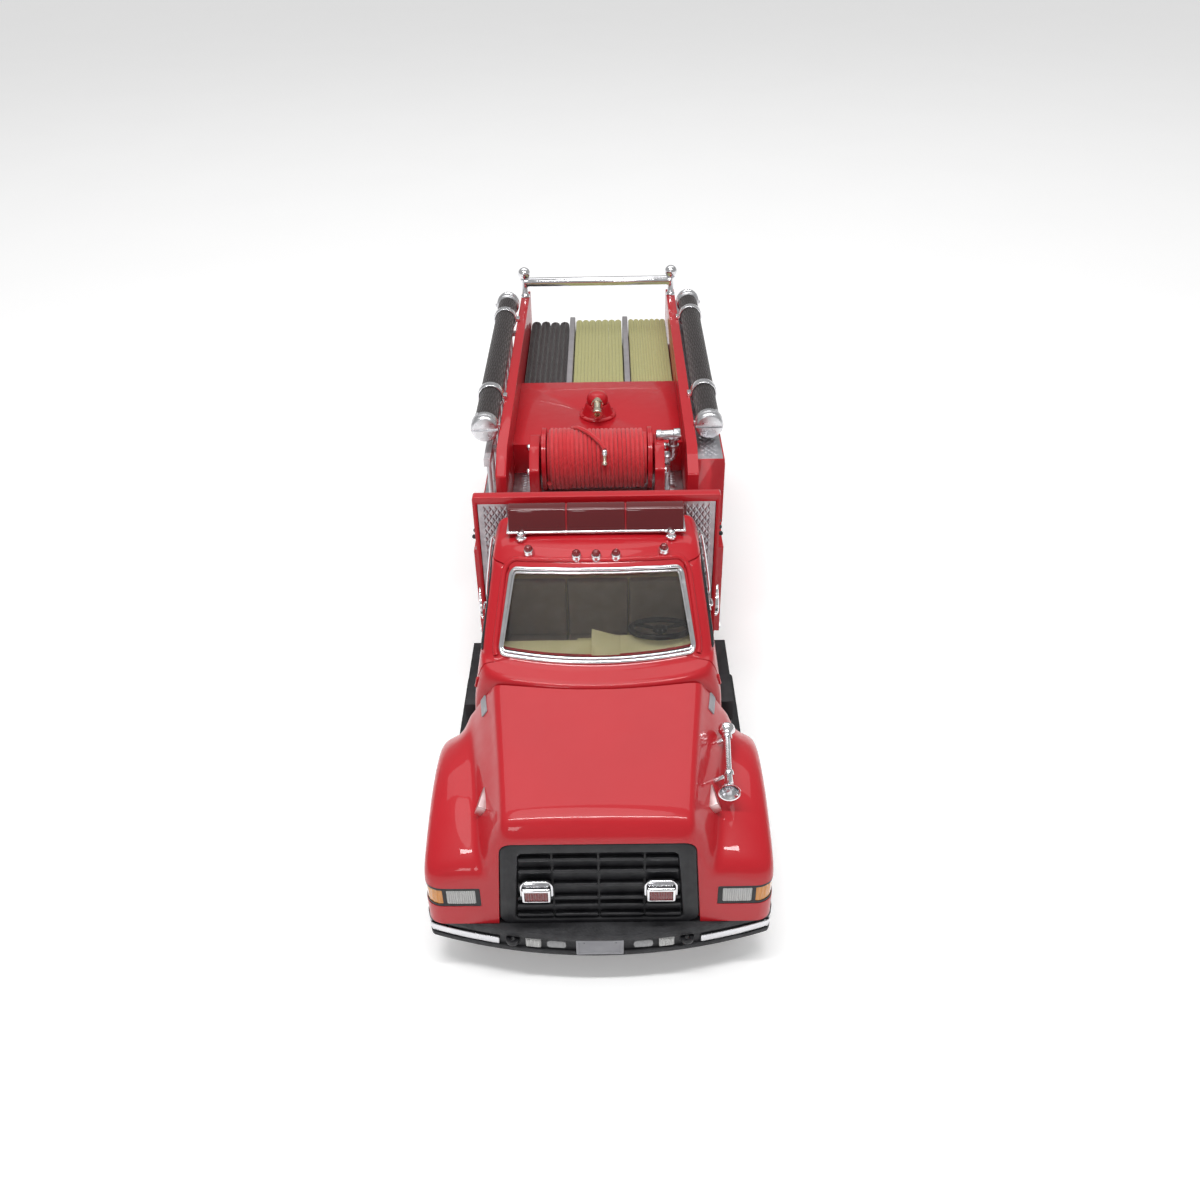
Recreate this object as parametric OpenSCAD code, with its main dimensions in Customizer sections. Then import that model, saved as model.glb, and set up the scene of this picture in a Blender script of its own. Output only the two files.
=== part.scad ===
// Conventional-cab pumper fire engine, a die-cast collector's model at 1:43.
// Millimetres. Origin: centre of the footprint on the ground. Front faces -Y,
// +X is the driver's side, +Z is up.

/* [Overall] */
// Bumper nose to the tailboard's edge
overall_length = 185.2; // [182:0.1:222]
// Width across the bumper ends
overall_width = 57; // [55:0.5:68]
// Front axle to rear axle
wheelbase = 121; // [112:1:128]
// Bumper nose to the front axle
front_overhang = 22.6; // [21.6:0.1:24.6]

/* [Wheels] */
// Tyre outer diameter
tyre_d = 24; // [22:0.5:25]
// Tyre tread width
tyre_w = 6.2; // [5:0.1:6.6]
// Rim diameter at the tyre's bead
rim_d = 14.4; // [13:0.1:16]
// Axle pin diameter
axle_d = 2.4; // [2:0.1:3]
// Radial running clearance of the axle pins in the frame
axle_clear = 0.06; // [0.02:0.01:0.1]
// Gap between the two tyres of a twin
twin_gap = 0.8; // [0.5:0.1:1.2]
// Clearance of a wheel arch round its tyre
arch_clear = 2.4; // [2:0.1:3]

/* [Bumper] */
// Height of the bumper bar
bumper_h = 5; // [4.6:0.1:6]
// Underside of the bumper above the ground
bumper_z = 6.7; // [6:0.1:7.5]
// How far the bumper's middle bulges ahead of its ends
bumper_bulge = 4; // [3:0.1:5]
// Thickness of the bumper bar, front to back
bumper_t = 3; // [2.5:0.1:4]

/* [Cab] */
// Bumper nose to the grille's face
grille_setback = 2.6; // [2:0.1:3.6]
// Grille face to the hood's rear seam
hood_length = 28.4; // [26:0.1:31]
// Hood height at its front edge
hood_front_h = 34; // [32:0.5:35]
// Hood and cowl height at the seam
cowl_h = 38; // [37:0.5:40]
// Seam to the windscreen's foot
cowl_length = 4.6; // [4:0.1:6]
// Level run of the sloping windscreen
screen_run = 12; // [10:0.1:13]
// Height of the windscreen's top edge
screen_top_h = 50.6; // [49:0.1:52]
// Windscreen's top edge to the back of the cab
roof_length = 16.5; // [14:0.1:20]
// Height of the roof
roof_h = 53.5; // [52:0.5:55]
// Cab width at the door handles
cab_w = 44.6; // [42:0.2:46]
// Cab width at the roof's edge
roof_w = 37; // [34:0.2:40]
// Radius of the bow of the windscreen and cowl
bow_r = 60; // [54:1:80]
// Wall thickness of the cab and hood castings
shell_t = 1.5; // [1:0.1:2]
// Width of the windscreen pillars
pillar_w = 1.8; // [1.4:0.1:2.4]
// Thickness of the window glass
glass_t = 0.6; // [0.4:0.1:0.8]
// Clearance of inserts in their openings
fit_gap = 0.08; // [0.05:0.01:0.15]

/* [Pump house] */
// Cab back to the front bulkhead
cab_gap = 2.5; // [2:0.1:4]
// Bulkhead thickness
bulkhead_t = 2; // [1.5:0.1:3]
// Bulkhead width
bulkhead_w = 47; // [44:0.5:50]
// Bulkhead top edge above the ground
bulkhead_h = 55; // [53:0.5:56]
// Bulkhead to the front of the body walls
pump_length = 14; // [12:0.5:18]
// Pump panel width across the two panels
pump_w = 45.4; // [44:0.2:47]

/* [Body] */
// Clear width between the body walls
bed_w = 36.8; // [34:0.2:37.6]
// Thickness of the body walls
wall_t = 2.2; // [1.8:0.1:2.6]
// Top of the body walls above the ground
wall_h = 54; // [52:0.5:56]
// Width across the compartments
body_w = 52.8; // [51:0.2:54]
// Underside of the compartments above the ground
skirt_h = 11; // [10:0.5:12]
// Top of the low compartments above the ground
low_h = 33; // [30:0.5:34]
// Top of the high compartments above the ground
high_h = 50.6; // [48:0.2:51]
// Front of the walls to the front of the deck box
reel_bay = 19; // [18:0.5:24]
// Length of the deck box
deck_box_l = 32; // [28:0.5:36]
// Tread-plate deck above the ground
deck_h = 41; // [40:0.2:42]
// Top of the deck box above the ground
deck_box_h = 48; // [46.5:0.2:49]
// Hose bed floor above the ground
bed_h = 38; // [36:0.2:39]
// Tailboard depth, front to back
tail_l = 4.6; // [4:0.1:7]

/* [Hoses and reel] */
// Outer diameter of the suction hoses
suction_d = 4.8; // [4:0.1:5]
// Diameter of the suction couplings
coupling_d = 5.8; // [5:0.1:6]
// Length of a suction hose with its couplings
suction_l = 75; // [66:1:80]
// Diameter of the wound hose on the reel
reel_d = 12.6; // [11:0.1:13]
// Diameter of the reel's flanges
flange_d = 13; // [12:0.1:14.2]
// Length of hose winding on the reel
reel_w = 21; // [16:0.5:22]
// Height of the reel's shaft above the deck
reel_h = 8; // [7.7:0.1:8.4]
// Diameter of the reel's shaft
shaft_d = 1.8; // [1.4:0.1:2.4]
// Radial running clearance of the reel shaft and the deck gun's pivot
pivot_clear = 0.05; // [0.02:0.01:0.1]
// Height of the folded hose in the bed
load_h = 8.5; // [6:0.1:8.8]

/* [Base] */
// Display screw hole diameter
screw_d = 2.6; // [2:0.1:3]
// Depth of the display screw holes
screw_depth = 6; // [5:0.1:7]
// Distance between the display screw holes
screw_pitch = 90; // [80:1:100]

/* [Hidden] */
$fn = 48;
eps = 0.01;
seat = 0.02;
y_nose = -overall_length / 2;
y_tail = overall_length / 2;
y_front = y_nose + front_overhang;
y_rear = y_front + wheelbase;
axle_z = tyre_d / 2;
frame_z = 13;
frame_h = 5;
frame_top = frame_z + frame_h;
rail_t = 2;
flange_t = 0.5;
y_screw = y_rear - 35 - screw_pitch;

y_grille = y_nose + grille_setback;
y_seam = y_grille + hood_length;
y_bow = y_seam + bow_r;
y_screen = y_seam + cowl_length;
y_brow = y_screen + screen_run;
y_cab_back = y_brow + roof_length;
y_bulkhead = y_cab_back + cab_gap;
y_pump = y_bulkhead + bulkhead_t;
y_wall = y_pump + pump_length;
y_deck_box = y_wall + reel_bay;
y_bed = y_deck_box + deck_box_l;
y_body_end = y_tail - tail_l;
y_body_front = y_wall + 6;

half_w = overall_width / 2;
fender_x = half_w - 0.2;
fender_inner = 14;
wing_foot = skirt_h + 1;
fender_rear = y_front + tyre_d / 2 + arch_clear + 2.1;
arch_r = tyre_d / 2 + arch_clear;
cab_floor_z = frame_top;
cab_low_z = frame_top + 1.6;
belt_z = 30;
tyre_outer = body_w / 2 - 1;
front_tyre_outer = half_w - 2.2;
rear_inner = tyre_outer - 2 * tyre_w - twin_gap;
side_h = (tyre_d - rim_d) / 2;
hub_x = rear_inner - 1;
rail_x = hub_x - 3.2;
wall_x = bed_w / 2 + wall_t;
body_x = body_w / 2;
suction_x = wall_x + coupling_d / 2 + 0.15;
suction_z = wall_h + 0.6;
suction_y = y_wall + 13;
reel_y = y_wall + 10.4;
reel_z = deck_h + reel_h;
bracket_t = 2;
bracket_x = reel_w / 2 + 1.4;
gun_y = y_deck_box + deck_box_l * 0.44;
gun_z = deck_box_h + 3.4;
gun_pin_r = 1;
nozzle_r = 0.6;
bar_y = y_brow + 10.2;
bar_w = 32.4;
bar_d = 5.2;
bar_z = roof_h + 0.3;
bar_base_h = 0.6;
bar_lens_h = 3.9;
lamp_xs = [-12, -3.5, 0, 3.5, 12];
lamp_back = 2.2;
lamp_h = 0.8;
brow_r = bow_r - cowl_length - screen_run;
brow_slope = atan2(1.1, 3.6);
foot_z = roof_h - 0.06;
post_y = y_body_end - 4.6;
post_d = 1.6;
rail_z = wall_h + 3.9;
knob_z = wall_h + 6.3;
ladder_z = [low_h + 3.8, low_h + 14.4];
ladder_x = wall_x + 2.9;
ladder_y0 = y_wall + 12;
ladder_l = y_body_end - 6 - ladder_y0;
rung_pitch = 7;
horn_x = 21.8;
horn_z = 32;
horn_y = y_front - 11;
horn_l = 15.6;
divider_xs = [-7, 7.2];
divider_t = 1.4;
load_gap = 0.25;

// ---- helpers ----

function unit(v) = v / norm(v);

// Moves every side of a counter-clockwise outline inwards by d; the third number is the radius
function inset(pts, d) = [
    for (i = [0 : len(pts) - 1])
        let (
            n = len(pts),
            b = [pts[i].x, pts[i].y],
            a = [pts[(i + n - 1) % n].x, pts[(i + n - 1) % n].y],
            c = [pts[(i + 1) % n].x, pts[(i + 1) % n].y],
            u = unit(b - a),
            v = unit(c - b),
            nu = [-u.y, u.x],
            nv = [-v.y, v.x],
            move = (nu + nv) * d / (1 + nu * nv)
        )
        [b.x + move.x, b.y + move.y, max(pts[i][2] - d, 0)]
];

// Corner data of a rounded outline: two tangent points and the arc's centre
function corner(pts, i) =
    let (
        n = len(pts),
        p = [pts[i].x, pts[i].y],
        u = unit([pts[(i + n - 1) % n].x, pts[(i + n - 1) % n].y] - p),
        v = unit([pts[(i + 1) % n].x, pts[(i + 1) % n].y] - p),
        half = acos(u * v) / 2,
        r = pts[i][2]
    )
    [p + u * r / tan(half), p + v * r / tan(half), p + unit(u + v) * r / sin(half)];

// Outline with convex corners rounded to each point's third number
module outline(pts) {
    polygon([for (i = [0 : len(pts) - 1]) each pts[i][2] > 0
        ? [corner(pts, i)[0], corner(pts, i)[1]]
        : [[pts[i].x, pts[i].y]]]);
    for (i = [0 : len(pts) - 1])
        if (pts[i][2] > 0)
            translate(corner(pts, i)[2]) circle(r = pts[i][2]);
}

// Rounded rectangle centred on the origin
module plate(w, h, r) {
    outline([[w / 2, -h / 2, r], [w / 2, h / 2, r], [-w / 2, h / 2, r], [-w / 2, -h / 2, r]]);
}

// A (y, z) outline made into a solid from x0 to x1
module across(x0, x1) {
    translate([x0, 0, 0]) rotate([90, 0, 90]) linear_extrude(x1 - x0) children();
}

// An (x, z) outline made into a solid from y0 to y1
module along(y0, y1) {
    translate([0, y1, 0]) rotate([90, 0, 0]) linear_extrude(y1 - y0) children();
}

// An (x, y) outline made into a solid from z0 to z1
module upright(z0, z1) {
    translate([0, 0, z0]) linear_extrude(z1 - z0) children();
}

// Box from corner a to corner b
module block(a, b) {
    translate(a) cube(b - a);
}

// Cylinder along X, from x0 to x1
module rod_x(x0, x1, y, z, r) {
    translate([x0, y, z]) rotate([0, 90, 0]) cylinder(h = x1 - x0, r = r);
}

// Cylinder along Y, from y0 to y1
module rod_y(y0, y1, x, z, r) {
    translate([x, y0, z]) rotate([-90, 0, 0]) cylinder(h = y1 - y0, r = r);
}

// The child and its mirror image across the middle
module pair() {
    children();
    mirror([1, 0, 0]) children();
}

// ---- chassis ----

cross_ys = [y_grille + 12, y_front + 16, y_front + 40, y_front + 62, y_rear - 16, y_rear + 16];

module axle_block(y) {
    block([rail_x - 1, y - 3.4, axle_z - 3], [hub_x - 0.4, y + 3.4, frame_top]);
}

module chassis_frame() {
    color("#26262a")
    difference() {
        union() {
            pair() {
                block([rail_x, y_grille + 4, frame_z], [rail_x + rail_t, y_body_end - 2, frame_top]);
                axle_block(y_front);
                axle_block(y_rear);
            }
            for (y = cross_ys)
                block([-rail_x - eps, y - 1.2, frame_z + 1], [rail_x + eps, y + 1.2, frame_top]);
            for (y = [y_screw, y_screw + screw_pitch])
                union() {
                    translate([0, y, frame_top - screw_depth - 2])
                        cylinder(h = screw_depth + 2, r = screw_d / 2 + 1.6);
                    block([-rail_x - eps, y - 1.5, frame_top - 2], [rail_x + eps, y + 1.5, frame_top]);
                }
            block([-rail_x - eps, y_body_end - 4, frame_z], [rail_x + eps, y_body_end - 2, frame_top]);
        }
        for (y = [y_screw, y_screw + screw_pitch])
            translate([0, y, frame_top - screw_depth - 3])
                cylinder(h = screw_depth + 1, r = screw_d / 2);
        for (y = [y_front, y_rear])
            rod_x(-hub_x, hub_x, y, axle_z, axle_d / 2 + axle_clear);
    }
}

module driveline() {
    x = rail_x - seat;
    color("#2b2b30")
    union() {
        block([-x, y_front + 4.6, frame_z + 1], [x, y_front + 14.4, frame_top]);
        block([3 - rail_x, y_front + 4.6, 10.5], [rail_x - 3, y_front + 14.4, frame_z + 1 + eps]);
        rod_y(y_front + 14, y_front + 18.5, 0, 12, 1.6);
        block([-3.4, y_front + 18, 10.5], [3.4, y_front + 25, frame_z + 1 + eps]);
        block([-x, y_front + 18, frame_z + 1], [x, y_front + 22, frame_top]);
    }
}

// ---- wheels ----

module tyre(x, w) {
    bulge = tyre_d / 2 - min(2.6, side_h * 0.55);
    r = min(0.8, side_h / 6);
    tread_r = min(0.9, side_h * 0.19);
    translate([x, 0, 0]) rotate([0, 90, 0]) rotate_extrude()
        outline([
            [rim_d / 2, 0.5, 0], [bulge, 0, r], [tyre_d / 2, 0.6, tread_r],
            [tyre_d / 2, w - 0.6, tread_r], [bulge, w, r], [rim_d / 2, w - 0.5, 0]
        ]);
}

// Dished disc wheel; the dish opens towards +X when deep is the hub's depth below the rim
module rim(x, w, deep) {
    r = rim_d / 2 - fit_gap / 2;
    translate([x, 0, 0]) rotate([0, 90, 0])
    difference() {
        union() {
            rotate_extrude()
                polygon([
                    [r - 0.9, 0.4], [r, 0.4], [r, w - 0.4], [r - 0.9, w - 0.4],
                    [r - 1, w - deep], [4, w - deep + 0.9], [2.6, w - deep + 0.9],
                    [2.6, w - deep + 3], [axle_d / 2, w - deep + 3], [axle_d / 2, w - deep - 1.6],
                    [2.6, w - deep - 1.6], [2.6, w - deep - 0.4], [r - 0.9, w - deep - 1]
                ]);
        }
        for (a = [0 : 60 : 300])
            rotate(a) translate([5, 0, w - deep - 3]) cylinder(h = 6, r = 0.8);
    }
}

module axle_pin(x1) {
    rod_x(-x1, x1, 0, 0, axle_d / 2);
}

front_deep = 2.4;
rear_deep = 4.2;

module front_axle() {
    color("silver") translate([0, y_front, axle_z])
        axle_pin(front_tyre_outer - front_deep + 2.6);
}

module front_rims() {
    color("silver") translate([0, y_front, axle_z])
        pair() rim(front_tyre_outer - tyre_w, tyre_w, front_deep);
}

module front_tyres() {
    color("#222222") translate([0, y_front, axle_z])
        pair() tyre(front_tyre_outer - tyre_w, tyre_w);
}

module rear_axle() {
    color("silver") translate([0, y_rear, axle_z])
        axle_pin(tyre_outer - rear_deep + 2.6);
}

module rear_rims() {
    color("silver") translate([0, y_rear, axle_z])
    pair() {
        rim(tyre_outer - tyre_w, tyre_w, rear_deep);
        difference() {
            rod_x(rear_inner, tyre_outer - tyre_w - 0.2, 0, 0, rim_d / 2 - fit_gap / 2);
            rod_x(rear_inner + 1.2, tyre_outer, 0, 0, rim_d / 2 - 1.2);
            rod_x(rear_inner - 1, tyre_outer, 0, 0, axle_d / 2);
        }
    }
}

module rear_tyres() {
    color("#222222") translate([0, y_rear, axle_z])
    pair() {
        tyre(tyre_outer - tyre_w, tyre_w);
        tyre(rear_inner, tyre_w);
    }
}

// ---- bumper ----

// Plan outline of the bumper's front, with d as the step back from its face
module bumper_plan(d) {
    chord = half_w - 2.5;
    r = (chord * chord + bumper_bulge * bumper_bulge) / (2 * bumper_bulge);
    intersection() {
        translate([0, y_nose + r]) circle(r = r - d, $fn = 180);
        translate([0, y_nose + 6.5 + d / 2]) plate(overall_width - 2 * d, 13 - d, 5 - d / 2);
        translate([-half_w, y_nose - 1]) square([overall_width, 10.2]);
    }
}

module front_bumper() {
    color("#1d1d20")
    difference() {
        upright(bumper_z, bumper_z + bumper_h) bumper_plan(0);
        translate([0, bumper_t, 0]) upright(bumper_z - 1, bumper_z + bumper_h + 1)
            intersection() {
                bumper_plan(bumper_t - 1);
                translate([-half_w, y_nose - 1]) square([overall_width, 14]);
            }
        difference() {
            upright(bumper_z + 0.9, bumper_z + bumper_h - 1.4)
                translate([-half_w - 1, y_nose - 1]) square([overall_width + 2, 20]);
            upright(bumper_z, bumper_z + bumper_h) bumper_plan(0.5);
        }
        along(y_nose - 1, y_nose + 0.5) translate([0, bumper_z + 1.9])
            plate(7.8 + 2 * fit_gap, 3.6 + 2 * fit_gap, 0.3);
    }
    color("#1d1d20")
    pair() union() {
        block([rail_x, y_nose + bumper_t - 0.4, bumper_z + 1], [rail_x + rail_t, y_grille + 4, bumper_z + 3.6]);
        block([rail_x, y_grille + 3.1, bumper_z + 1], [rail_x + rail_t, y_grille + 4, frame_z + 3]);
    }
}

trim_z0 = bumper_z + 1.1;
trim_z1 = bumper_z + bumper_h - 1.6;

module bumper_trim() {
    color("silver")
    pair()
    difference() {
        upright(trim_z0, trim_z1) bumper_plan(0.1);
        upright(trim_z0 - 1, trim_z1 + 1) bumper_plan(0.5 - seat);
        block([-half_w - 1, y_nose - 1, 0], [16.6, y_nose + 20, 30]);
    }
}

lamp_specs = [[11, 2.5], [7.1, 3]];

module bumper_lamps() {
    color("#c9c9c4")
    pair() for (s = lamp_specs)
        intersection() {
            difference() {
                upright(trim_z0 + 0.1, trim_z1 - 0.1) bumper_plan(0.15);
                upright(bumper_z, bumper_z + bumper_h) bumper_plan(0.5 - seat);
            }
            block([s[0] - s[1] / 2, y_nose - 1, 0], [s[0] + s[1] / 2, y_nose + 9, 30]);
        }
}

module number_plate() {
    color("#b9b9bd")
    along(y_nose + 0.05, y_nose + 0.5 - seat) translate([0, bumper_z + 1.9]) plate(7.8, 3.6, 0.3);
}

module tow_hooks() {
    color("#1d1d20")
    pair() difference() {
        translate([14.3, y_nose + 1.4, bumper_z + 2.2]) cylinder(h = 0.8, r = 1.1);
        translate([14.3, y_nose + 1.2, bumper_z]) cylinder(h = 4, r = 0.4);
        upright(bumper_z, bumper_z + bumper_h) bumper_plan(0.5 - seat);
    }
}

// ---- hood and fenders ----

// Cross-section slice of the hood at y: half widths at the foot and shoulder, and its top
module hood_slice(y, low, side, shoulder, top) {
    along(y, y + 0.2) outline([
        [low, bumper_z + bumper_h + 1, 0], [side, top - 7, 0], [shoulder, top, 1.6],
        [-shoulder, top, 1.6], [-side, top - 7, 0], [-low, bumper_z + bumper_h + 1, 0]
    ], $fn = 24);
}

// The hood's main form; d makes it smaller all round
module hood_form(d) {
    hull() {
        hood_slice(y_grille + d, 17 - d, 16.6 - d, 14.8 - d, hood_front_h - 2.6 - d);
        hood_slice(y_grille + 1.8 + d, 17.6 - d, 17.2 - d, 15.2 - d, hood_front_h - d);
        hood_slice(y_seam + 9, cab_w / 2 - d, cab_w / 2 - 0.2 - d, roof_w / 2 + 1 - d, cowl_h + 0.9 - d);
    }
}

// Wing over a front wheel: three outlines crossed
module fender_form(d) {
    y0 = y_grille + 0.4 + d;
    y1 = fender_rear - d;
    x0 = fender_inner;
    x1 = fender_x - d;
    intersection() {
        across(x0, half_w + 1) outline([
            [y1, wing_foot, 0], [y1 - 0.6, 17, 3], [y_front + arch_r - 4.4, 25 - d, 6],
            [y_front - 4, 28 - d, 8], [y0 + 3, 24.6 - d, 3], [y0, 21, 2],
            [y0, bumper_z + bumper_h + 0.1, 0], [y_front, bumper_z + bumper_h + 0.1, 0],
            [y_front, wing_foot, 0]
        ]);
        along(y0 - 1, y1 + 1) outline([
            [x0, bumper_z + 1, 0], [x1, bumper_z + 1, 0], [x1, 23.5 - d, 5], [x0 + 7, 28 - d, 3], [x0, 29, 0]
        ]);
        upright(bumper_z, 32) outline([
            [x0, y0, 0], [x1 - 3.4, y0, 4], [x1, y0 + 6.4, 5],
            [x1, y_front + 6, 8], [x1 - 4.4, y1, 2], [x0, y1, 0]
        ]);
    }
}

module hood() {
    color("#c62c36")
    difference() {
        union() {
            hood_form(0);
            pair() fender_form(0);
        }
        difference() {
            hood_form(shell_t);
            block([-40, y_grille - 1, 0], [40, y_grille + 3, 60]);
        }
        pair() intersection() {
            fender_form(shell_t);
            block([fender_inner, y_grille + 5, 0], [half_w, y_rear, 60]);
        }
        pair() rod_x(fender_inner - 0.5, half_w + 1, y_front, axle_z, arch_r);
        translate([0, y_bow, 0]) cylinder(h = 60, r = bow_r + fit_gap, $fn = 180);
        block([-40, y_seam + 5.6, 0], [40, y_rear, 60]);
        along(y_grille - 1, y_grille + 1.2) grille_outline(-fit_gap);
        pair() headlamp_recess(0);
    }
}

module grille_outline(d) {
    outline(inset([
        [16.4, bumper_z + bumper_h, 0.6], [15.2, 30.3, 2.4], [-15.2, 30.3, 2.4],
        [-16.4, bumper_z + bumper_h, 0.6]
    ], d));
}

bar_zs = [26.7, 24, 20.8, 17.7, 15.9, 13.6];
grille_lamp_z = 20.4;

module grille() {
    color("#202024")
    difference() {
        along(y_grille + 0.1, y_grille + 1.2) grille_outline(0);
        along(y_grille, y_grille + 0.9) difference() {
            grille_outline(1);
            translate([-1.4, 0]) square([2.8, 40]);
            for (z = bar_zs)
                translate([-20, z - 0.5]) square([40, 1]);
        }
    }
}

module grille_lamp_housings() {
    color("silver")
    pair() difference() {
        union() {
            along(y_grille - 1.6, y_grille) translate([9.9, grille_lamp_z]) plate(4.6, 3, 0.7);
            along(y_grille - seat, y_grille + 0.1) translate([9.9, grille_lamp_z]) plate(5.4, 3.8, 0.9);
        }
        along(y_grille - 2, y_grille - 1.2) translate([9.9, grille_lamp_z - 0.2]) plate(3.9, 2, 0.3);
    }
}

module grille_lamp_lenses() {
    color("#8c1c22")
    pair() along(y_grille - 1.55, y_grille - 1.2 - seat) translate([9.9, grille_lamp_z - 0.2]) plate(3.7, 1.8, 0.3);
}

// Space of the headlamp unit in the fender's front; d makes it smaller all round
module headlamp_recess(d) {
    intersection() {
        along(y_grille - 1, y_grille + 12) translate([23.8, 18.2]) plate(9.6 - 2 * d, 4.2 - 2 * d, 0.5);
        difference() {
            fender_form(-1);
            fender_form(1.2 - d);
        }
    }
}

module headlamp_bezels() {
    color("#1b1b1e")
    pair() difference() {
        intersection() {
            headlamp_recess(fit_gap);
            fender_form(0.15);
        }
        for (b = [[19.9, 24.1], [25.2, 27.8]])
            intersection() {
                along(y_grille - 1, y_grille + 12) translate([(b[0] + b[1]) / 2, 18.2]) plate(b[1] - b[0], 3, 0.2);
                difference() {
                    fender_form(-1);
                    fender_form(0.7);
                }
            }
    }
}

module lamp_insert(x0, x1) {
    intersection() {
        along(y_grille - 1, y_grille + 12) translate([(x0 + x1) / 2, 18.2]) plate(x1 - x0 - 0.1, 2.9, 0.2);
        difference() {
            fender_form(0.1);
            fender_form(0.7 - seat);
        }
    }
}

module headlamp_lenses() {
    color("#d4d4d2") pair() lamp_insert(19.9, 24.1);
}

module marker_lenses() {
    color("#e08a1c") pair() lamp_insert(25.2, 27.8);
}

module hood_vents() {
    color("#b98a8c")
    pair() difference() {
        translate([18.4, y_grille + 10, 29.6]) rotate([0, -22, 8]) block([-0.6, -2.2, -1], [0.9, 2.2, 1]);
        hood_form(-seat);
    }
}

module air_horn() {
    color("silver")
    difference() {
        translate([horn_x, horn_y, horn_z]) union() {
            rotate([-90, 0, 0]) rotate_extrude() polygon([
                [1.9, 0], [2.2, 0], [2.1, 0.6], [1.1, 2.4], [0.55, 4.4],
                [0.55, horn_l - 1.4], [1.5, horn_l - 0.6], [1.5, horn_l], [0, horn_l],
                [0, 3.4], [0.7, 2.2]
            ]);
            for (y = [4.4, horn_l - 2.4])
                block([-5, y - 0.4, -0.4], [0, y + 0.4, 0.4]);
        }
        hood_form(-seat);
    }
}

// ---- cab ----

// Cross-section of the cab, drawn inwards by d
function cab_front(d) = inset([
    [cab_w / 2 - 0.4, cab_low_z, 0], [cab_w / 2, belt_z, 0], [roof_w / 2 + 0.3, roof_h - 3, 0],
    [roof_w / 2 - 0.8, roof_h - 1.1, 0], [roof_w / 2 - 3.4, roof_h - 0.2, 0], [10, roof_h, 0],
    [-10, roof_h, 0], [-roof_w / 2 + 3.4, roof_h - 0.2, 0], [-roof_w / 2 + 0.8, roof_h - 1.1, 0],
    [-roof_w / 2 - 0.3, roof_h - 3, 0], [-cab_w / 2, belt_z, 0], [-cab_w / 2 + 0.4, cab_low_z, 0]
], d);

// Side outline of the cab's front, as a distance from the bow's axis
function cab_side(d) = [
    [0, cab_low_z - 1], [bow_r - d, cab_low_z - 1], [bow_r - d, cowl_h - d],
    [bow_r - cowl_length - d * 0.6, cowl_h + 0.6 - d],
    [brow_r - d * 0.8, screen_top_h - d * 0.6],
    [brow_r - 1.4 - d * 0.6, roof_h - 1.3 - d * 0.8],
    [brow_r - 5 - d * 0.3, roof_h - 0.2 - d],
    [brow_r - 8, roof_h + 0.6 - d], [0, roof_h + 1]
];

module cab_form(d) {
    intersection() {
        along(y_seam - 1, y_cab_back - d) outline(cab_front(d));
        translate([0, y_bow, 0]) rotate_extrude($fn = 180) polygon(cab_side(d));
    }
}

// Windscreen opening seen from the front, with small corner facets
screen_foot = cowl_h + 1.3;
screen_head = screen_top_h - 0.4;
function screen_pts(d) = inset([
    [16.4, screen_foot, 0], [17.1, screen_foot + 0.8, 0], [16, screen_head - 0.8, 0],
    [15.2, screen_head, 0], [-15.2, screen_head, 0], [-16, screen_head - 0.8, 0],
    [-17.1, screen_foot + 0.8, 0], [-16.4, screen_foot, 0]
], d);

// Front of the cab's side where the bow has radius r and the side is x from the middle
function side_front(r, x) = y_bow - sqrt(r * r - x * x);
pillar_foot = side_front(bow_r - cowl_length, cab_w / 2 - 1.6);
pillar_top = side_front(bow_r - cowl_length - screen_run, roof_w / 2 + 0.4);

// Door window seen from the side
function door_pts(d) = inset([
    [pillar_foot + pillar_w, cowl_h + 0.4, 0.6], [y_cab_back - 4, cowl_h + 0.4, 1],
    [y_cab_back - 4.6, screen_top_h - 1.2, 1], [pillar_top + pillar_w, screen_top_h - 1.2, 0.8]
], d);

// Rear window seen from the front
function rear_pts(d) = inset([
    [11, cowl_h + 3, 1], [11, screen_top_h - 1.4, 1], [-11, screen_top_h - 1.4, 1], [-11, cowl_h + 3, 1]
], d);

module window_prisms(d) {
    along(y_seam, y_brow + 4) outline(screen_pts(d));
    across(-30, 30) outline(door_pts(d));
    along(y_cab_back - 4, y_cab_back + 4) outline(rear_pts(d));
}

module door_seams() {
    difference() {
        across(-30, 30) outline(inset(door_seam_pts, 0));
        across(-31, 31) outline(inset(door_seam_pts, 0.3));
    }
}

door_seam_pts = [
    [pillar_foot + 0.7, cab_low_z + 2, 1], [y_cab_back - 3, cab_low_z + 2, 1],
    [y_cab_back - 3, screen_top_h - 0.2, 1], [pillar_top + 0.7, screen_top_h - 0.2, 1],
    [pillar_foot + 0.7, cowl_h, 1]
];

module cab_shell() {
    color("#c62c36")
    difference() {
        cab_form(0);
        cab_form(shell_t);
        upright(cab_low_z - 1, cab_low_z + shell_t + 1) intersection() {
            translate([0, y_bow]) circle(r = bow_r - shell_t, $fn = 180);
            translate([-cab_w / 2 + shell_t + 0.3, y_seam])
                square([cab_w - 2 * shell_t - 0.6, y_cab_back - shell_t - y_seam]);
        }
        window_prisms(0);
        difference() {
            door_seams();
            cab_form(0.3);
        }
    }
}

module cab_glazing() {
    color("#4d4638", 0.6)
    intersection() {
        difference() {
            cab_form(0.3);
            cab_form(0.3 + glass_t);
        }
        window_prisms(fit_gap);
    }
}

module windscreen_trim() {
    color("silver")
    difference() {
        intersection() {
            difference() {
                cab_form(-0.25);
                cab_form(0.28);
            }
            along(y_seam, y_brow + 4) outline(screen_pts(fit_gap));
        }
        along(y_seam - 1, y_brow + 5) outline(screen_pts(0.75));
    }
}

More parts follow.
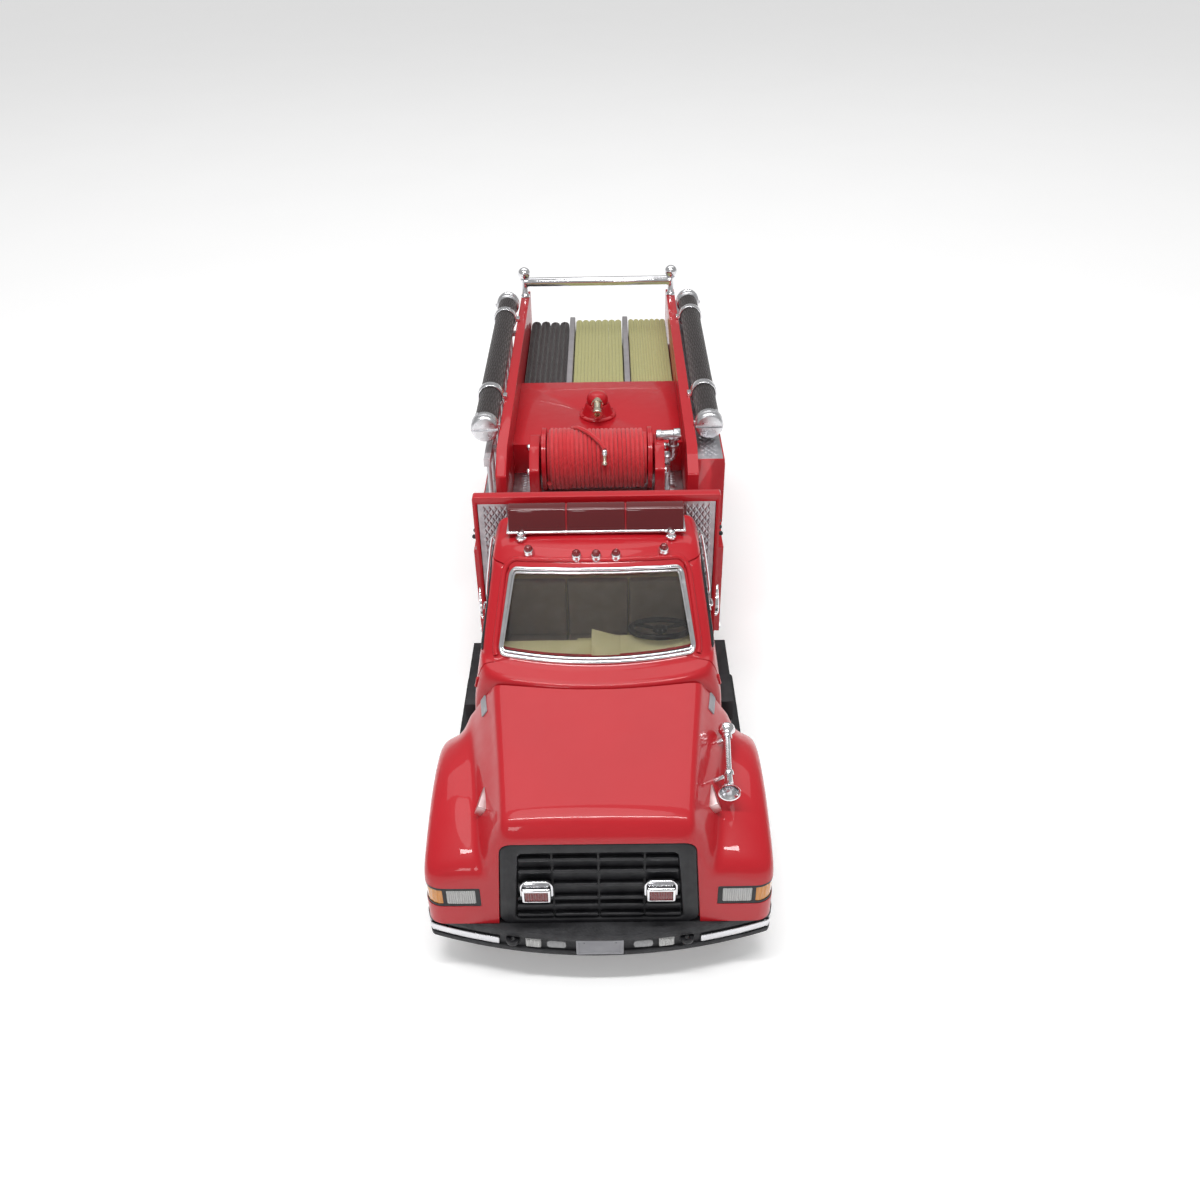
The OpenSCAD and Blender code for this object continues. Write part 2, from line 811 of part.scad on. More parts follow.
module cab_interior() {
    color("#d2cc94")
    difference() {
        union() {
            intersection() {
                block([-cab_w / 2 + 0.6, y_seam, cab_floor_z + seat],
                      [cab_w / 2 - 0.6, y_cab_back - seat, cab_low_z - seat]);
                translate([0, y_bow, 0]) cylinder(h = 60, r = bow_r - 0.3, $fn = 180);
            }
            block([-17.4, y_seam + 8, cab_floor_z + 1], [17.4, y_screen + 7.4, cowl_h - 1.6]);
            block([-3.6, y_screen + 2.8, cowl_h - 2], [3.6, y_screen + 8.6, cowl_h + 0.6]);
            block([-16, y_cab_back - 13, cab_floor_z + 1], [16, y_cab_back - 2.5, 27.5]);
            block([-16, y_cab_back - 5.5, cab_floor_z + 1], [16, y_cab_back - 2.5, 42]);
        }
        rod_x(-20, 20, y_screen + 10, 21, 2);
    }
}

wheel_pos = [9.6, y_screen + 10.6, cowl_h + 0.4];

module steering_wheel() {
    color("#1c1c1e")
    translate(wheel_pos) rotate([-28, 0, 0])
    union() {
        rotate_extrude() translate([4.2, 0]) circle(r = 0.5);
        cylinder(h = 0.7, r = 1.1, center = true);
        for (a = [90, 210, 330])
            rotate(a) translate([0, -0.4, -0.25]) cube([4, 0.8, 0.5]);
        translate([0, 0, -5.4]) cylinder(h = 5.4, r = 0.6);
    }
}

// Puts a lamp part on the brow's slope at each lamp's place
module on_brow(lift) {
    r = brow_r - lamp_back;
    for (x = lamp_xs)
        translate([x, y_bow - sqrt(r * r - x * x), roof_h - 1.3 + (lamp_back - 1.4) * tan(brow_slope)])
            rotate([0, 0, asin(x / r)]) rotate([brow_slope, 0, 0]) translate([0, 0, lift]) children();
}

module roof_lamp_bases() {
    color("silver") on_brow(seat) cylinder(h = lamp_h, r = 0.95);
}

module roof_lamp_domes() {
    color("#6a1519")
    on_brow(lamp_h + 2 * seat) intersection() {
        sphere(r = 0.8);
        cylinder(h = 2, r = 2);
    }
}

// ---- light bar ----

module light_bar_base() {
    color("silver")
    union() {
        upright(bar_z, bar_z + bar_base_h) translate([0, bar_y]) plate(bar_w, bar_d, 0.8);
        for (s = [-1, 1])
            translate([s * 13.5, bar_y, foot_z]) union() {
                translate([-1, -bar_d / 2, 0]) cube([2, bar_d, bar_z - foot_z + 0.1]);
                translate([0, -bar_d / 2 - 0.4, 0]) cylinder(h = bar_z + bar_base_h - foot_z, r = 0.8);
            }
    }
}

module light_bar_lens() {
    color("#8c141c", 0.75)
    intersection() {
        across(-bar_w / 2 + 0.2, bar_w / 2 - 0.2) outline([
            [bar_y - bar_d / 2 + 0.2, bar_z + bar_base_h + seat, 0],
            [bar_y + bar_d / 2 - 0.2, bar_z + bar_base_h + seat, 0],
            [bar_y + bar_d / 2 - 1.3, bar_z + bar_base_h + bar_lens_h, 0.6],
            [bar_y - bar_d / 2 + 1.3, bar_z + bar_base_h + bar_lens_h, 0.6]
        ]);
        along(bar_y - bar_d, bar_y + bar_d) outline([
            [-bar_w / 2 + 0.2, bar_z, 0], [bar_w / 2 - 0.2, bar_z, 0],
            [bar_w / 2 - 0.5, bar_z + bar_base_h + bar_lens_h, 0.8],
            [-bar_w / 2 + 0.5, bar_z + bar_base_h + bar_lens_h, 0.8]
        ]);
    }
}

// ---- steps and pump house ----

module side_steps() {
    y0 = fender_rear + 1;
    y1 = y_cab_back + 1;
    color("#1d1d20")
    pair() union() {
        upright(10, 13) translate([20.2, (y0 + y1) / 2]) plate(14.6, y1 - y0, 1.2);
        upright(13 - eps, frame_top - seat) translate([19.3, (y0 + y1) / 2 + 2]) plate(12.4, y1 - y0 - 5, 1);
        block([cab_w / 2 + 0.3, y0 + 5, frame_top - 1], [25.5, y1 - 0.8, 22.4]);
        block([rail_x + rail_t + seat, y_cab_back - 14, 13.5], [14, y_cab_back - 11, 16]);
    }
}

module front_bulkhead() {
    color("#b8242e")
    difference() {
        along(y_bulkhead, y_pump) translate([0, (bulkhead_h + frame_top) / 2])
            plate(bulkhead_w, bulkhead_h - frame_top, 0.4);
        pair() along(y_bulkhead - 1, y_bulkhead + 0.5) plate_outline(-fit_gap);
    }
}

module plate_outline(d) {
    outline(inset([
        [bulkhead_w / 2 - 0.9, frame_top + 1, 0.2], [bulkhead_w / 2 - 0.9, bulkhead_h - 1.5, 0.2],
        [16, bulkhead_h - 1.5, 0.2], [16, frame_top + 1, 0.2]
    ], d));
}

module bulkhead_plates() {
    color("#a9a9ad") pair() along(y_bulkhead + 0.1, y_bulkhead + 0.5 - seat) plate_outline(0);
}

module pump_house() {
    color("#a81f2a")
    difference() {
        block([-pump_w / 2 + 1.4, y_pump + seat, frame_top], [pump_w / 2 - 1.4, y_wall - seat, deck_h - 1.2]);
        block([-pump_w / 2 + 3.4, y_pump + 2, frame_top - 1], [pump_w / 2 - 3.4, y_wall - 2, deck_h - 3]);
    }
}

gauge_rows = [[3.4, 38, 1.5], [7.6, 38, 1.5], [11, 38.4, 1], [3.4, 34, 1], [6.4, 34, 1], [10.6, 34, 1.3]];

module pump_panels() {
    color("#b4b4b8")
    pair() difference() {
        block([pump_w / 2 - 1.4 + seat, y_pump + 0.2, frame_top - 3], [pump_w / 2, y_wall - 0.2, 47]);
        for (g = gauge_rows)
            rod_x(pump_w / 2 - 0.4, pump_w / 2 + 1, y_pump + g[0], g[1], g[2]);
    }
}

intake_z = 24;

module pump_fittings() {
    color("silver")
    pair() {
        for (g = gauge_rows)
            rod_x(pump_w / 2 - 0.4 + seat, pump_w / 2 + 0.25, y_pump + g[0], g[1], g[2] - 0.1);
        rod_x(pump_w / 2 + seat, pump_w / 2 + 2.4, y_pump + 7, intake_z, 2.7);
        for (y = [3, 11])
            rod_x(pump_w / 2 + seat, pump_w / 2 + 1.8, y_pump + y, intake_z + 5.6, 1.2);
    }
}

module pump_deck() {
    color("#8f8f94")
    union() {
        block([-pump_w / 2 + 1.4, y_pump + seat, deck_h - 1.2 + seat], [pump_w / 2 - 1.4, y_wall - seat, deck_h]);
        block([-bed_w / 2 + seat, y_wall - 2 * seat, deck_h - 1.2 + seat],
              [bed_w / 2 - seat, y_deck_box + 1, deck_h]);
    }
}

// ---- body ----

// One body side: the tall wall with its sloped nose, and the compartments outside it
module body_side(top) {
    union() {
        across(bed_w / 2, wall_x) outline([
            [y_wall, 26, 0], [y_body_end, 26, 0], [y_body_end, wall_h, 0.8],
            [y_wall + 6.5, wall_h, 0], [y_wall, wall_h - 3.4, 0.6]
        ]);
        difference() {
            block([bed_w / 2, y_wall, skirt_h], [body_x, y_body_end, low_h]);
            block([bed_w / 2 - 1, y_wall + 1.2, skirt_h - 1], [body_x - 1.2, y_body_end - 1.2, low_h - 1.2]);
            rod_x(0, body_x + 1, y_rear, axle_z, arch_r);
        }
        if (top > low_h)
            difference() {
                block([wall_x - eps, y_body_front, low_h - eps], [body_x, y_body_end, top]);
                block([wall_x - 1, y_body_front + 1.2, low_h - 1], [body_x - 1.2, y_body_end - 1.2, top - 1.2]);
            }
    }
}

// Engraved outlines of the doors: front, over the wheel, rear
module door_lines(z1) {
    y_arch0 = y_rear - arch_r - 1.5;
    y_arch1 = y_rear + arch_r + 1.5;
    for (s = [
        [y_body_front + 1, (y_body_front + y_arch0) / 2, skirt_h + 1.2, z1],
        [(y_body_front + y_arch0) / 2 + 0.8, y_arch0, skirt_h + 1.2, z1],
        [y_arch1, y_body_end - 1, skirt_h + 1.2, z1]
    ])
        difference() {
            block([body_x - 0.25, s[0], s[2]], [body_x + 1, s[1], s[3]]);
            block([body_x - 1, s[0] + 0.35, s[2] + 0.35], [body_x + 2, s[1] - 0.35, s[3] - 0.35]);
        }
}

// The driver's side carries the tall compartments
module body_left() {
    color("#c62c36")
    difference() {
        body_side(high_h);
        door_lines(high_h - 1.2);
    }
}

module body_right() {
    color("#c62c36")
    mirror([1, 0, 0]) difference() {
        body_side(low_h);
        door_lines(low_h - 1.2);
    }
}

module hose_bed() {
    x = bed_w / 2 - seat;
    color("#8f8f94")
    union() {
        block([-x, y_deck_box + 1.2, bed_h - 1.6], [x, y_body_end - 0.1, bed_h]);
        block([-x, y_body_end - 1.7, frame_top + 0.2], [x, y_body_end - 0.1, bed_h]);
        for (y = [y_wall + 3, y_body_end - 10])
            block([-rail_x - rail_t, y - 1, frame_top], [rail_x + rail_t, y + 1, bed_h - 1.5]);
    }
}

module deck_box() {
    x = bed_w / 2 - seat;
    color("#c62c36")
    difference() {
        block([-x, y_deck_box, deck_h + seat], [x, y_bed, deck_box_h]);
        block([-x + 1.4, y_deck_box + 1.4, deck_h - 1], [x - 1.4, y_bed - 1.4, deck_box_h - 1.4]);
        block([-x - 1, y_deck_box + 1 - seat, 0], [x + 1, y_deck_box + 1.4, deck_h + 2 * seat]);
        translate([0, gun_y, deck_box_h - 3]) cylinder(h = 4, r = 2.2);
    }
    color("#c62c36")
    pair() block([x - 1.4, y_deck_box + 1.6, bed_h + seat], [x, y_bed, deck_h + 0.1]);
    color("#c62c36")
    block([-x, y_bed - 1.4, bed_h + seat], [x, y_bed, deck_h + 0.1]);
}

module bed_dividers() {
    color("#8b8486")
    for (x = divider_xs)
        block([x - divider_t / 2, y_bed + seat, bed_h + seat], [x + divider_t / 2, y_body_end - 3, bed_h + load_h + 1]);
}

// Folded hose between x0 and x1, as a block with rounded top edges
module hose_load(x0, x1) {
    along(y_bed + 0.4, y_body_end - 3.2) outline([
        [x1, bed_h + seat, 0], [x1, bed_h + load_h, 0.8], [x0, bed_h + load_h, 0.8], [x0, bed_h + seat, 0]
    ]);
}

module dark_hose_load() {
    color("#3a3031") hose_load(-bed_w / 2 + load_gap, divider_xs[0] - divider_t / 2 - load_gap);
}

module cream_hose_loads() {
    color("#c8c383") {
        hose_load(divider_xs[0] + divider_t / 2 + load_gap, divider_xs[1] - divider_t / 2 - load_gap);
        hose_load(divider_xs[1] + divider_t / 2 + load_gap, bed_w / 2 - load_gap);
    }
}

// ---- hose reel ----

module reel_frame() {
    color("#b8242e")
    pair() difference() {
        across(bracket_x, bracket_x + bracket_t) outline([
            [reel_y - 8, deck_h + seat, 0], [reel_y + 5.6, deck_h + seat, 0], [reel_y + 3.4, reel_z + 4.6, 2.2],
            [reel_y - 3.4, reel_z + 4.6, 2.2], [reel_y - 8, reel_z + 1.4, 0.8]
        ]);
        rod_x(bracket_x - 1, bracket_x + bracket_t + 1, reel_y, reel_z, shaft_d / 2 + pivot_clear);
    }
    color("silver")
    pair() for (p = [[-1.6, 3.6], [-6.6, 0.6]])
        rod_x(bracket_x + bracket_t + seat, bracket_x + bracket_t + 0.5, reel_y + p[0], reel_z + p[1], 0.5);
}

module reel_inlet() {
    x = bracket_x + bracket_t;
    color("silver")
    union() {
        rod_x(x + 0.5, x + 2.4, reel_y, reel_z, 1.4);
        translate([x + 2.2, reel_y, reel_z]) cylinder(h = 4.4, r = 0.9);
        translate([x + 2.2, reel_y, reel_z + 4.4]) rotate([0, 70, 20]) cylinder(h = 1.6, r = 0.9);
        block([x + seat, reel_y - 1, deck_h + seat], [x + 1.6, reel_y + 1, reel_z - 2.2]);
        block([x + 0.9, reel_y - 0.8, reel_z - 2.4], [x + 1.8, reel_y + 0.8, reel_z - 0.9]);
    }
}

module reel_drum() {
    color("#b8242e")
    translate([0, reel_y, reel_z])
    union() {
        rod_x(-bracket_x - bracket_t + 0.1, bracket_x + bracket_t - 0.1, 0, 0, shaft_d / 2);
        rod_x(-reel_w / 2, reel_w / 2, 0, 0, 3);
        pair() rod_x(reel_w / 2, reel_w / 2 + flange_t, 0, 0, flange_d / 2);
    }
}

module reel_hose() {
    turn = 0.9;
    turns = floor((reel_w - 0.3) / turn);
    color("#c8323c")
    translate([0, reel_y, reel_z])
    difference() {
        rod_x(-turns * turn / 2, turns * turn / 2, 0, 0, reel_d / 2);
        rod_x(-reel_w, reel_w, 0, 0, 3 + seat);
        for (i = [1 : turns - 1])
            translate([-turns * turn / 2 + i * turn, 0, 0]) rotate([0, 90, 0]) rotate_extrude()
                polygon([[reel_d / 2 - 0.4, 0], [reel_d / 2 + 0.1, -0.25], [reel_d / 2 + 0.1, 0.25]]);
    }
}

module reel_nozzle() {
    color("silver")
    translate([1.6, reel_y, reel_z]) rotate([62, 0, 0])
    translate([0, 1.5, reel_d / 2 + nozzle_r + seat]) rotate([90, 0, 0])
    union() {
        cylinder(h = 3, r = nozzle_r - 0.12);
        translate([0, 0, 1]) cylinder(h = 1, r = nozzle_r);
    }
}

// ---- deck gun ----

module gun_base() {
    color("#c62c36")
    difference() {
        translate([0, gun_y, deck_box_h]) rotate_extrude() polygon([
            [0, seat], [4.1, seat], [3.9, 1], [3.3, 2.4], [2.4, 3.2], [0, 3.2]
        ]);
        translate([0, gun_y, deck_box_h - 0.5]) cylinder(h = 6, r = gun_pin_r + pivot_clear);
    }
}

module deck_gun() {
    color("#c9b98a")
    translate([0, gun_y, gun_z])
    union() {
        translate([0, 0, -3]) cylinder(h = 3.4, r = gun_pin_r);
        translate([0, 0, 0]) cylinder(h = 1, r = 1.5);
        translate([0, 0, 1.2]) rotate([100, 0, 0]) cylinder(h = 7, r = 0.85);
        translate([0, 0, 1.2]) rotate([100, 0, 0]) translate([0, 0, 5.4]) cylinder(h = 2, r = 1.1);
        translate([0, 0, 0.9]) sphere(r = 1.4);
    }
}

// ---- suction hoses, ladder and rear ----

module suction_hoses() {
    color("#3b2e2e")
    pair() rod_y(suction_y + 3.4, suction_y + suction_l - 3.4, suction_x, suction_z, suction_d / 2);
}

module suction_couplings() {
    color("silver")
    pair() for (s = [0, 1])
        translate([suction_x, s == 0 ? suction_y : suction_y + suction_l, suction_z])
        mirror([0, s, 0])
        difference() {
            rod_y(0, 3.4 - seat, 0, 0, coupling_d / 2);
            block([-4, -1, -0.3], [4, 0.5, 0.3]);
        }
}

module hose_brackets() {
    color("silver")
    pair() for (y = [suction_y + 17, suction_y + suction_l - 12])
        difference() {
            union() {
                rod_y(y - 1, y + 1, suction_x, suction_z, suction_d / 2 + 0.5);
                block([wall_x - 0.6, y - 0.9, wall_h + seat], [suction_x - 1.2, y + 0.9, wall_h + 0.9]);
            }
            rod_y(y - 2, y + 2, suction_x, suction_z, suction_d / 2 + seat);
            block([bed_w / 2, y - 2, 0], [wall_x + seat, y + 2, wall_h + seat / 2]);
        }
}

module ladder() {
    color("#d8d8dc")
    mirror([1, 0, 0]) union() {
        for (z = ladder_z)
            block([ladder_x - 0.7, ladder_y0, z - 0.9], [ladder_x + 0.7, ladder_y0 + ladder_l, z + 0.9]);
        for (y = [ladder_y0 + 3 : rung_pitch : ladder_y0 + ladder_l - 2])
            translate([ladder_x, y, ladder_z[0]]) cylinder(h = ladder_z[1] - ladder_z[0], r = 0.5);
        for (y = [ladder_y0 + 6.5, ladder_y0 + ladder_l - 8])
            block([wall_x + seat, y - 0.8, ladder_z[1] - 0.5], [ladder_x, y + 0.8, ladder_z[1] + 0.5]);
        for (y = [ladder_y0 + 6.5, ladder_y0 + ladder_l - 8])
            block([wall_x + seat, y - 0.8, ladder_z[0] - 0.5], [ladder_x, y + 0.8, ladder_z[0] + 0.5]);
    }
}

module rear_handrail() {
    x = wall_x - wall_t / 2;
    color("silver")
    union() {
        pair() {
            translate([x, post_y, wall_h + seat]) cylinder(h = knob_z - wall_h, r = post_d / 2);
            translate([x, post_y, knob_z]) sphere(r = 1.6);
            translate([x, post_y, wall_h + seat]) cylinder(h = 0.7, r = 1.1);
        }
        rod_x(-x, x, post_y, rail_z, 1.2);
    }
}

module tailboard() {
    color("#8f8f94")
    union() {
        upright(skirt_h - 1, skirt_h + 1.6) translate([0, y_tail - tail_l / 2])
            plate(body_w - 0.4, tail_l, 1);
        pair() block([rail_x + seat, y_body_end - 6, skirt_h - 1], [rail_x + rail_t, y_body_end + 1, frame_z - seat]);
    }
}

module tail_lamps() {
    color("#a5161c")
    pair() for (z = [17, 20.4, 23.8])
        along(y_body_end + seat, y_body_end + 0.7) translate([22.4, z]) plate(4.4, 2.6, 0.5);
}

chassis_frame();
driveline();
front_bumper();
bumper_trim();
bumper_lamps();
number_plate();
tow_hooks();
hood();
hood_vents();
grille();
grille_lamp_housings();
grille_lamp_lenses();
headlamp_bezels();
headlamp_lenses();
marker_lenses();
air_horn();
cab_shell();
cab_glazing();
windscreen_trim();
cab_interior();
steering_wheel();
roof_lamp_bases();
roof_lamp_domes();
light_bar_base();
light_bar_lens();
side_steps();
front_bulkhead();
bulkhead_plates();
pump_house();
pump_panels();
pump_fittings();
pump_deck();
body_left();
body_right();
hose_bed();
bed_dividers();
deck_box();
dark_hose_load();
cream_hose_loads();
reel_frame();
reel_inlet();
reel_drum();
reel_hose();
reel_nozzle();
gun_base();
deck_gun();
suction_hoses();
suction_couplings();
hose_brackets();
ladder();
rear_handrail();
tailboard();
tail_lamps();
front_axle();
front_rims();
front_tyres();
rear_axle();
rear_rims();
rear_tyres();
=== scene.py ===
"""Conventional-cab pumper fire engine, a 1:43 die-cast collector's model.

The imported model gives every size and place. This script gives it its finishes and
its fine pieces: the smooth nose and cab castings, lamps, hoses, reel and fittings.
Lengths are written in millimetres and become metres when a piece is finished.
"""

import logging
import math
import sys
from dataclasses import dataclass
from enum import Enum
from typing import Callable, Iterable, Sequence

import bmesh
import bpy
from mathutils import Matrix, Vector
from mathutils.bvhtree import BVHTree


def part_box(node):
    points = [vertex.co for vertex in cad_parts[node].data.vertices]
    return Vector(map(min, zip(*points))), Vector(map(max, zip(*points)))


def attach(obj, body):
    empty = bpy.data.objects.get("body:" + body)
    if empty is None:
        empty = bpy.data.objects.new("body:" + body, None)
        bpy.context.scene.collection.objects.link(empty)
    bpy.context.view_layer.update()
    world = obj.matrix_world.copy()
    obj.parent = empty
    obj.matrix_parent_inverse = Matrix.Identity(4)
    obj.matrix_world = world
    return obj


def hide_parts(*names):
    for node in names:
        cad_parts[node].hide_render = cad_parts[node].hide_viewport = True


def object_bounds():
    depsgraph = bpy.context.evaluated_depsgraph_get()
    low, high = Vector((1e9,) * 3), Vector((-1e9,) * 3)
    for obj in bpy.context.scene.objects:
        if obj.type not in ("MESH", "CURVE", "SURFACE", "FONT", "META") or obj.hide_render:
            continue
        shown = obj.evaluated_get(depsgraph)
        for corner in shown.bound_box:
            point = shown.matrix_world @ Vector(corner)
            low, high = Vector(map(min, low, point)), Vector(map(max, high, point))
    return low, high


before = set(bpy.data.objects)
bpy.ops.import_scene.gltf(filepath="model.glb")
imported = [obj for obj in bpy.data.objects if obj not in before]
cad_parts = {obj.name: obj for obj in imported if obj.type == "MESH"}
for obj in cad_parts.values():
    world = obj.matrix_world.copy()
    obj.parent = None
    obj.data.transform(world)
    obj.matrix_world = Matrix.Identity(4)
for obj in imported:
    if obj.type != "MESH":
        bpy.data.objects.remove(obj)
CAD_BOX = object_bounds()

log = logging.getLogger("fire_engine")
Point = tuple[float, float, float]
Flat = tuple[float, float]
Colour = tuple[float, float, float]
Solid = bmesh.types.BMesh
Socket = bpy.types.NodeSocket
MM = 0.001
FRONT_AXLE = -70.0
REAR_AXLE = 51.0


class Body(Enum):
    """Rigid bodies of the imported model."""

    TRUCK = "truck"
    FRONT_WHEELS = "front_wheels"
    REAR_WHEELS = "rear_wheels"
    REEL = "hose_reel"
    MONITOR = "deck_monitor"


class Axis(Enum):
    """Direction in which a flat outline is made solid, or a rod runs."""

    X = "x"
    Y = "y"
    Z = "z"

    def turn(self) -> Matrix:
        """Rotation that takes +Z, the modelling direction, onto this axis.

        Returns:
            The rotation.
        """
        if self is Axis.X:
            return Matrix(((0, 0, 1, 0), (1, 0, 0, 0), (0, 1, 0, 0), (0, 0, 0, 1)))
        if self is Axis.Y:
            return Matrix(((1, 0, 0, 0), (0, 0, 1, 0), (0, -1, 0, 0), (0, 0, 0, 1)))
        return Matrix.Identity(4)


# ---------------------------------------------------------------- finishes


class Shader:
    """A material's node tree with one Principled surface."""

    def __init__(self, name: str, **surface: float | Colour) -> None:
        """Start a material.

        Args:
            name: Name of the material.
            surface: Principled inputs that stay the same all over.
        """
        self.material = bpy.data.materials.new(name)
        self.material.use_nodes = True
        self.tree = self.material.node_tree
        self.surface = self.tree.nodes["Principled BSDF"]
        for key, value in surface.items():
            socket = self.surface.inputs[key.replace("_", " ").capitalize()
                                         if key not in SOCKETS else SOCKETS[key]]
            socket.default_value = (*value, 1.0) if isinstance(value, tuple) else value

    def place(self, stretch: Point = (1.0, 1.0, 1.0), turn: Point = (0.0, 0.0, 0.0)) -> Socket:
        """Object coordinates in millimetres.

        Args:
            stretch: Scale of the pattern on each axis.
            turn: Rotation in degrees.

        Returns:
            The mapped vector.
        """
        coordinates = self.tree.nodes.new("ShaderNodeTexCoord")
        mapping = self.tree.nodes.new("ShaderNodeMapping")
        mapping.inputs["Scale"].default_value = [s / MM for s in stretch]
        mapping.inputs["Rotation"].default_value = [math.radians(t) for t in turn]
        self.tree.links.new(coordinates.outputs["Object"], mapping.inputs["Vector"])
        return mapping.outputs["Vector"]

    def noise(self, per_mm: float, detail: float = 2.0, stretch: Point = (1.0, 1.0, 1.0)) -> Socket:
        """Noise with a given number of features per millimetre.

        Args:
            per_mm: Features per millimetre.
            detail: Levels of finer detail.
            stretch: Scale along each axis.

        Returns:
            The noise, 0 to 1.
        """
        node = self.tree.nodes.new("ShaderNodeTexNoise")
        node.inputs["Scale"].default_value = per_mm
        node.inputs["Detail"].default_value = detail
        self.tree.links.new(self.place(stretch), node.inputs["Vector"])
        return node.outputs["Fac"]

    def waves(self, per_mm: float, axis: Axis, warp: float = 0.0,
              turn: Point = (0.0, 0.0, 0.0)) -> Socket:
        """Ridges across an axis.

        Args:
            per_mm: Ridges per millimetre.
            axis: Axis that the ridges follow each other along.
            warp: How far the ridges wander.
            turn: Rotation of the pattern in degrees.

        Returns:
            The ridges' height, from 0 to 1.
        """
        node = self.tree.nodes.new("ShaderNodeTexWave")
        node.bands_direction = axis.name
        node.inputs["Scale"].default_value = per_mm * math.pi / 10
        node.inputs["Distortion"].default_value = warp
        self.tree.links.new(self.place(turn=turn), node.inputs["Vector"])
        return node.outputs["Fac"]

    def cells(self, per_mm: float) -> Socket:
        """Distance field of small cells, for stipple and grit.

        Args:
            per_mm: Cells per millimetre.

        Returns:
            The distance field.
        """
        node = self.tree.nodes.new("ShaderNodeTexVoronoi")
        node.inputs["Scale"].default_value = per_mm
        self.tree.links.new(self.place(), node.inputs["Vector"])
        return node.outputs["Distance"]

    def limit(self, value: Socket, low: float, high: float,
              start: float = 0.3, end: float = 0.7) -> Socket:
        """Spread a pattern's start..end onto low..high.

        Args:
            value: The pattern.
            low: Result at the start.
            high: Result at the end.
            start: Value that gives low.
            end: Value that gives high.

        Returns:
            The spread pattern.
        """
        node = self.tree.nodes.new("ShaderNodeMapRange")
        for key, number in zip(("From Min", "From Max", "To Min", "To Max"), (start, end, low, high)):
            node.inputs[key].default_value = number
        self.tree.links.new(value, node.inputs["Value"])
        return node.outputs["Result"]

    def blend(self, share: Socket, first: Colour, second: Colour) -> None:
        """Colour the surface between two colours by a share.

        Args:
            share: Share of the second colour.
            first: First colour.
            second: Second colour.
        """
        node = self.tree.nodes.new("ShaderNodeMix")
        node.data_type = "RGBA"
        node.inputs[6].default_value = (*first, 1.0)
        node.inputs[7].default_value = (*second, 1.0)
        self.tree.links.new(share, node.inputs[0])
        self.tree.links.new(node.outputs[2], self.surface.inputs["Base Color"])

    def rough(self, value: Socket, low: float, high: float) -> None:
        """Vary the roughness between low and high by a pattern."""
        self.tree.links.new(self.limit(value, low, high), self.surface.inputs["Roughness"])

    def relief(self, *heights: tuple[Socket, float, float]) -> None:
        """Chain bumps.

        Args:
            heights: For each bump its pattern, its strength and its depth in millimetres.
        """
        normal = None
        for pattern, strength, depth in heights:
            node = self.tree.nodes.new("ShaderNodeBump")
            node.inputs["Strength"].default_value = strength
            node.inputs["Distance"].default_value = depth * MM
            self.tree.links.new(pattern, node.inputs["Height"])
            if normal is not None:
                self.tree.links.new(normal, node.inputs["Normal"])
            normal = node.outputs["Normal"]
        self.tree.links.new(normal, self.surface.inputs["Normal"])


SOCKETS = {
    "base": "Base Color", "ior": "IOR", "transmission": "Transmission Weight",
    "coat": "Coat Weight", "coat_roughness": "Coat Roughness", "specular": "Specular IOR Level",
    "sheen": "Sheen Weight", "glow": "Emission Color", "glow_strength": "Emission Strength",
}


@dataclass(frozen=True)
class Finish:
    """A finish that can be put on any piece."""

    name: str

    def material(self) -> bpy.types.Material:
        """The finish's material, built once."""
        return bpy.data.materials.get(self.name) or self.build().material

    def build(self) -> Shader:
        """Build the node tree."""
        raise NotImplementedError


@dataclass(frozen=True)
class Lacquer(Finish):
    """Sprayed gloss paint on die-cast metal, with orange peel and a slow drift of tone."""

    colour: Colour
    deep: Colour
    peel: float = 0.02

    def build(self) -> Shader:
        """Build the node tree.

        Returns:
            The finished shader.
        """
        shader = Shader(self.name, base=self.colour, coat=0.5, coat_roughness=0.03, specular=0.18)
        shader.blend(shader.limit(shader.noise(0.045, 3.0), 0.0, 1.0), self.colour, self.deep)
        shader.rough(shader.noise(0.4, 2.0), 0.36, 0.46)
        shader.relief((shader.noise(0.8, 1.0), self.peel, 0.02))
        return shader


@dataclass(frozen=True)
class Plating(Finish):
    """Bright plating or bare metal with fine polishing marks."""

    colour: Colour
    dull: Colour
    roughness: float = 0.14
    grain: float = 0.04

    def build(self) -> Shader:
        """Build the node tree.

        Returns:
            The finished shader.
        """
        shader = Shader(self.name, base=self.colour, metallic=1.0)
        shader.blend(shader.limit(shader.noise(0.5, 4.0), 0.0, 1.0), self.colour, self.dull)
        shader.rough(shader.noise(1.4, 4.0), self.roughness, self.roughness + 0.14)
        shader.relief((shader.noise(7.0, 3.0, (1.0, 1.0, 3.0)), self.grain, 0.03))
        return shader


@dataclass(frozen=True)
class Moulding(Finish):
    """Moulded plastic with a fine grain."""

    colour: Colour
    worn: Colour
    roughness: float = 0.45
    grain: float = 0.12
    pitch: float = 5.0
    specular: float = 0.28

    def build(self) -> Shader:
        """Build the node tree.

        Returns:
            The finished shader.
        """
        shader = Shader(self.name, base=self.colour, specular=self.specular)
        shader.blend(shader.limit(shader.noise(0.35, 5.0), 0.0, 1.0, 0.35, 0.8), self.colour, self.worn)
        shader.rough(shader.noise(0.8, 3.0), self.roughness - 0.08, self.roughness + 0.1)
        shader.relief((shader.cells(self.pitch), self.grain, 0.05), (shader.noise(2.0, 3.0), 0.05, 0.05))
        return shader


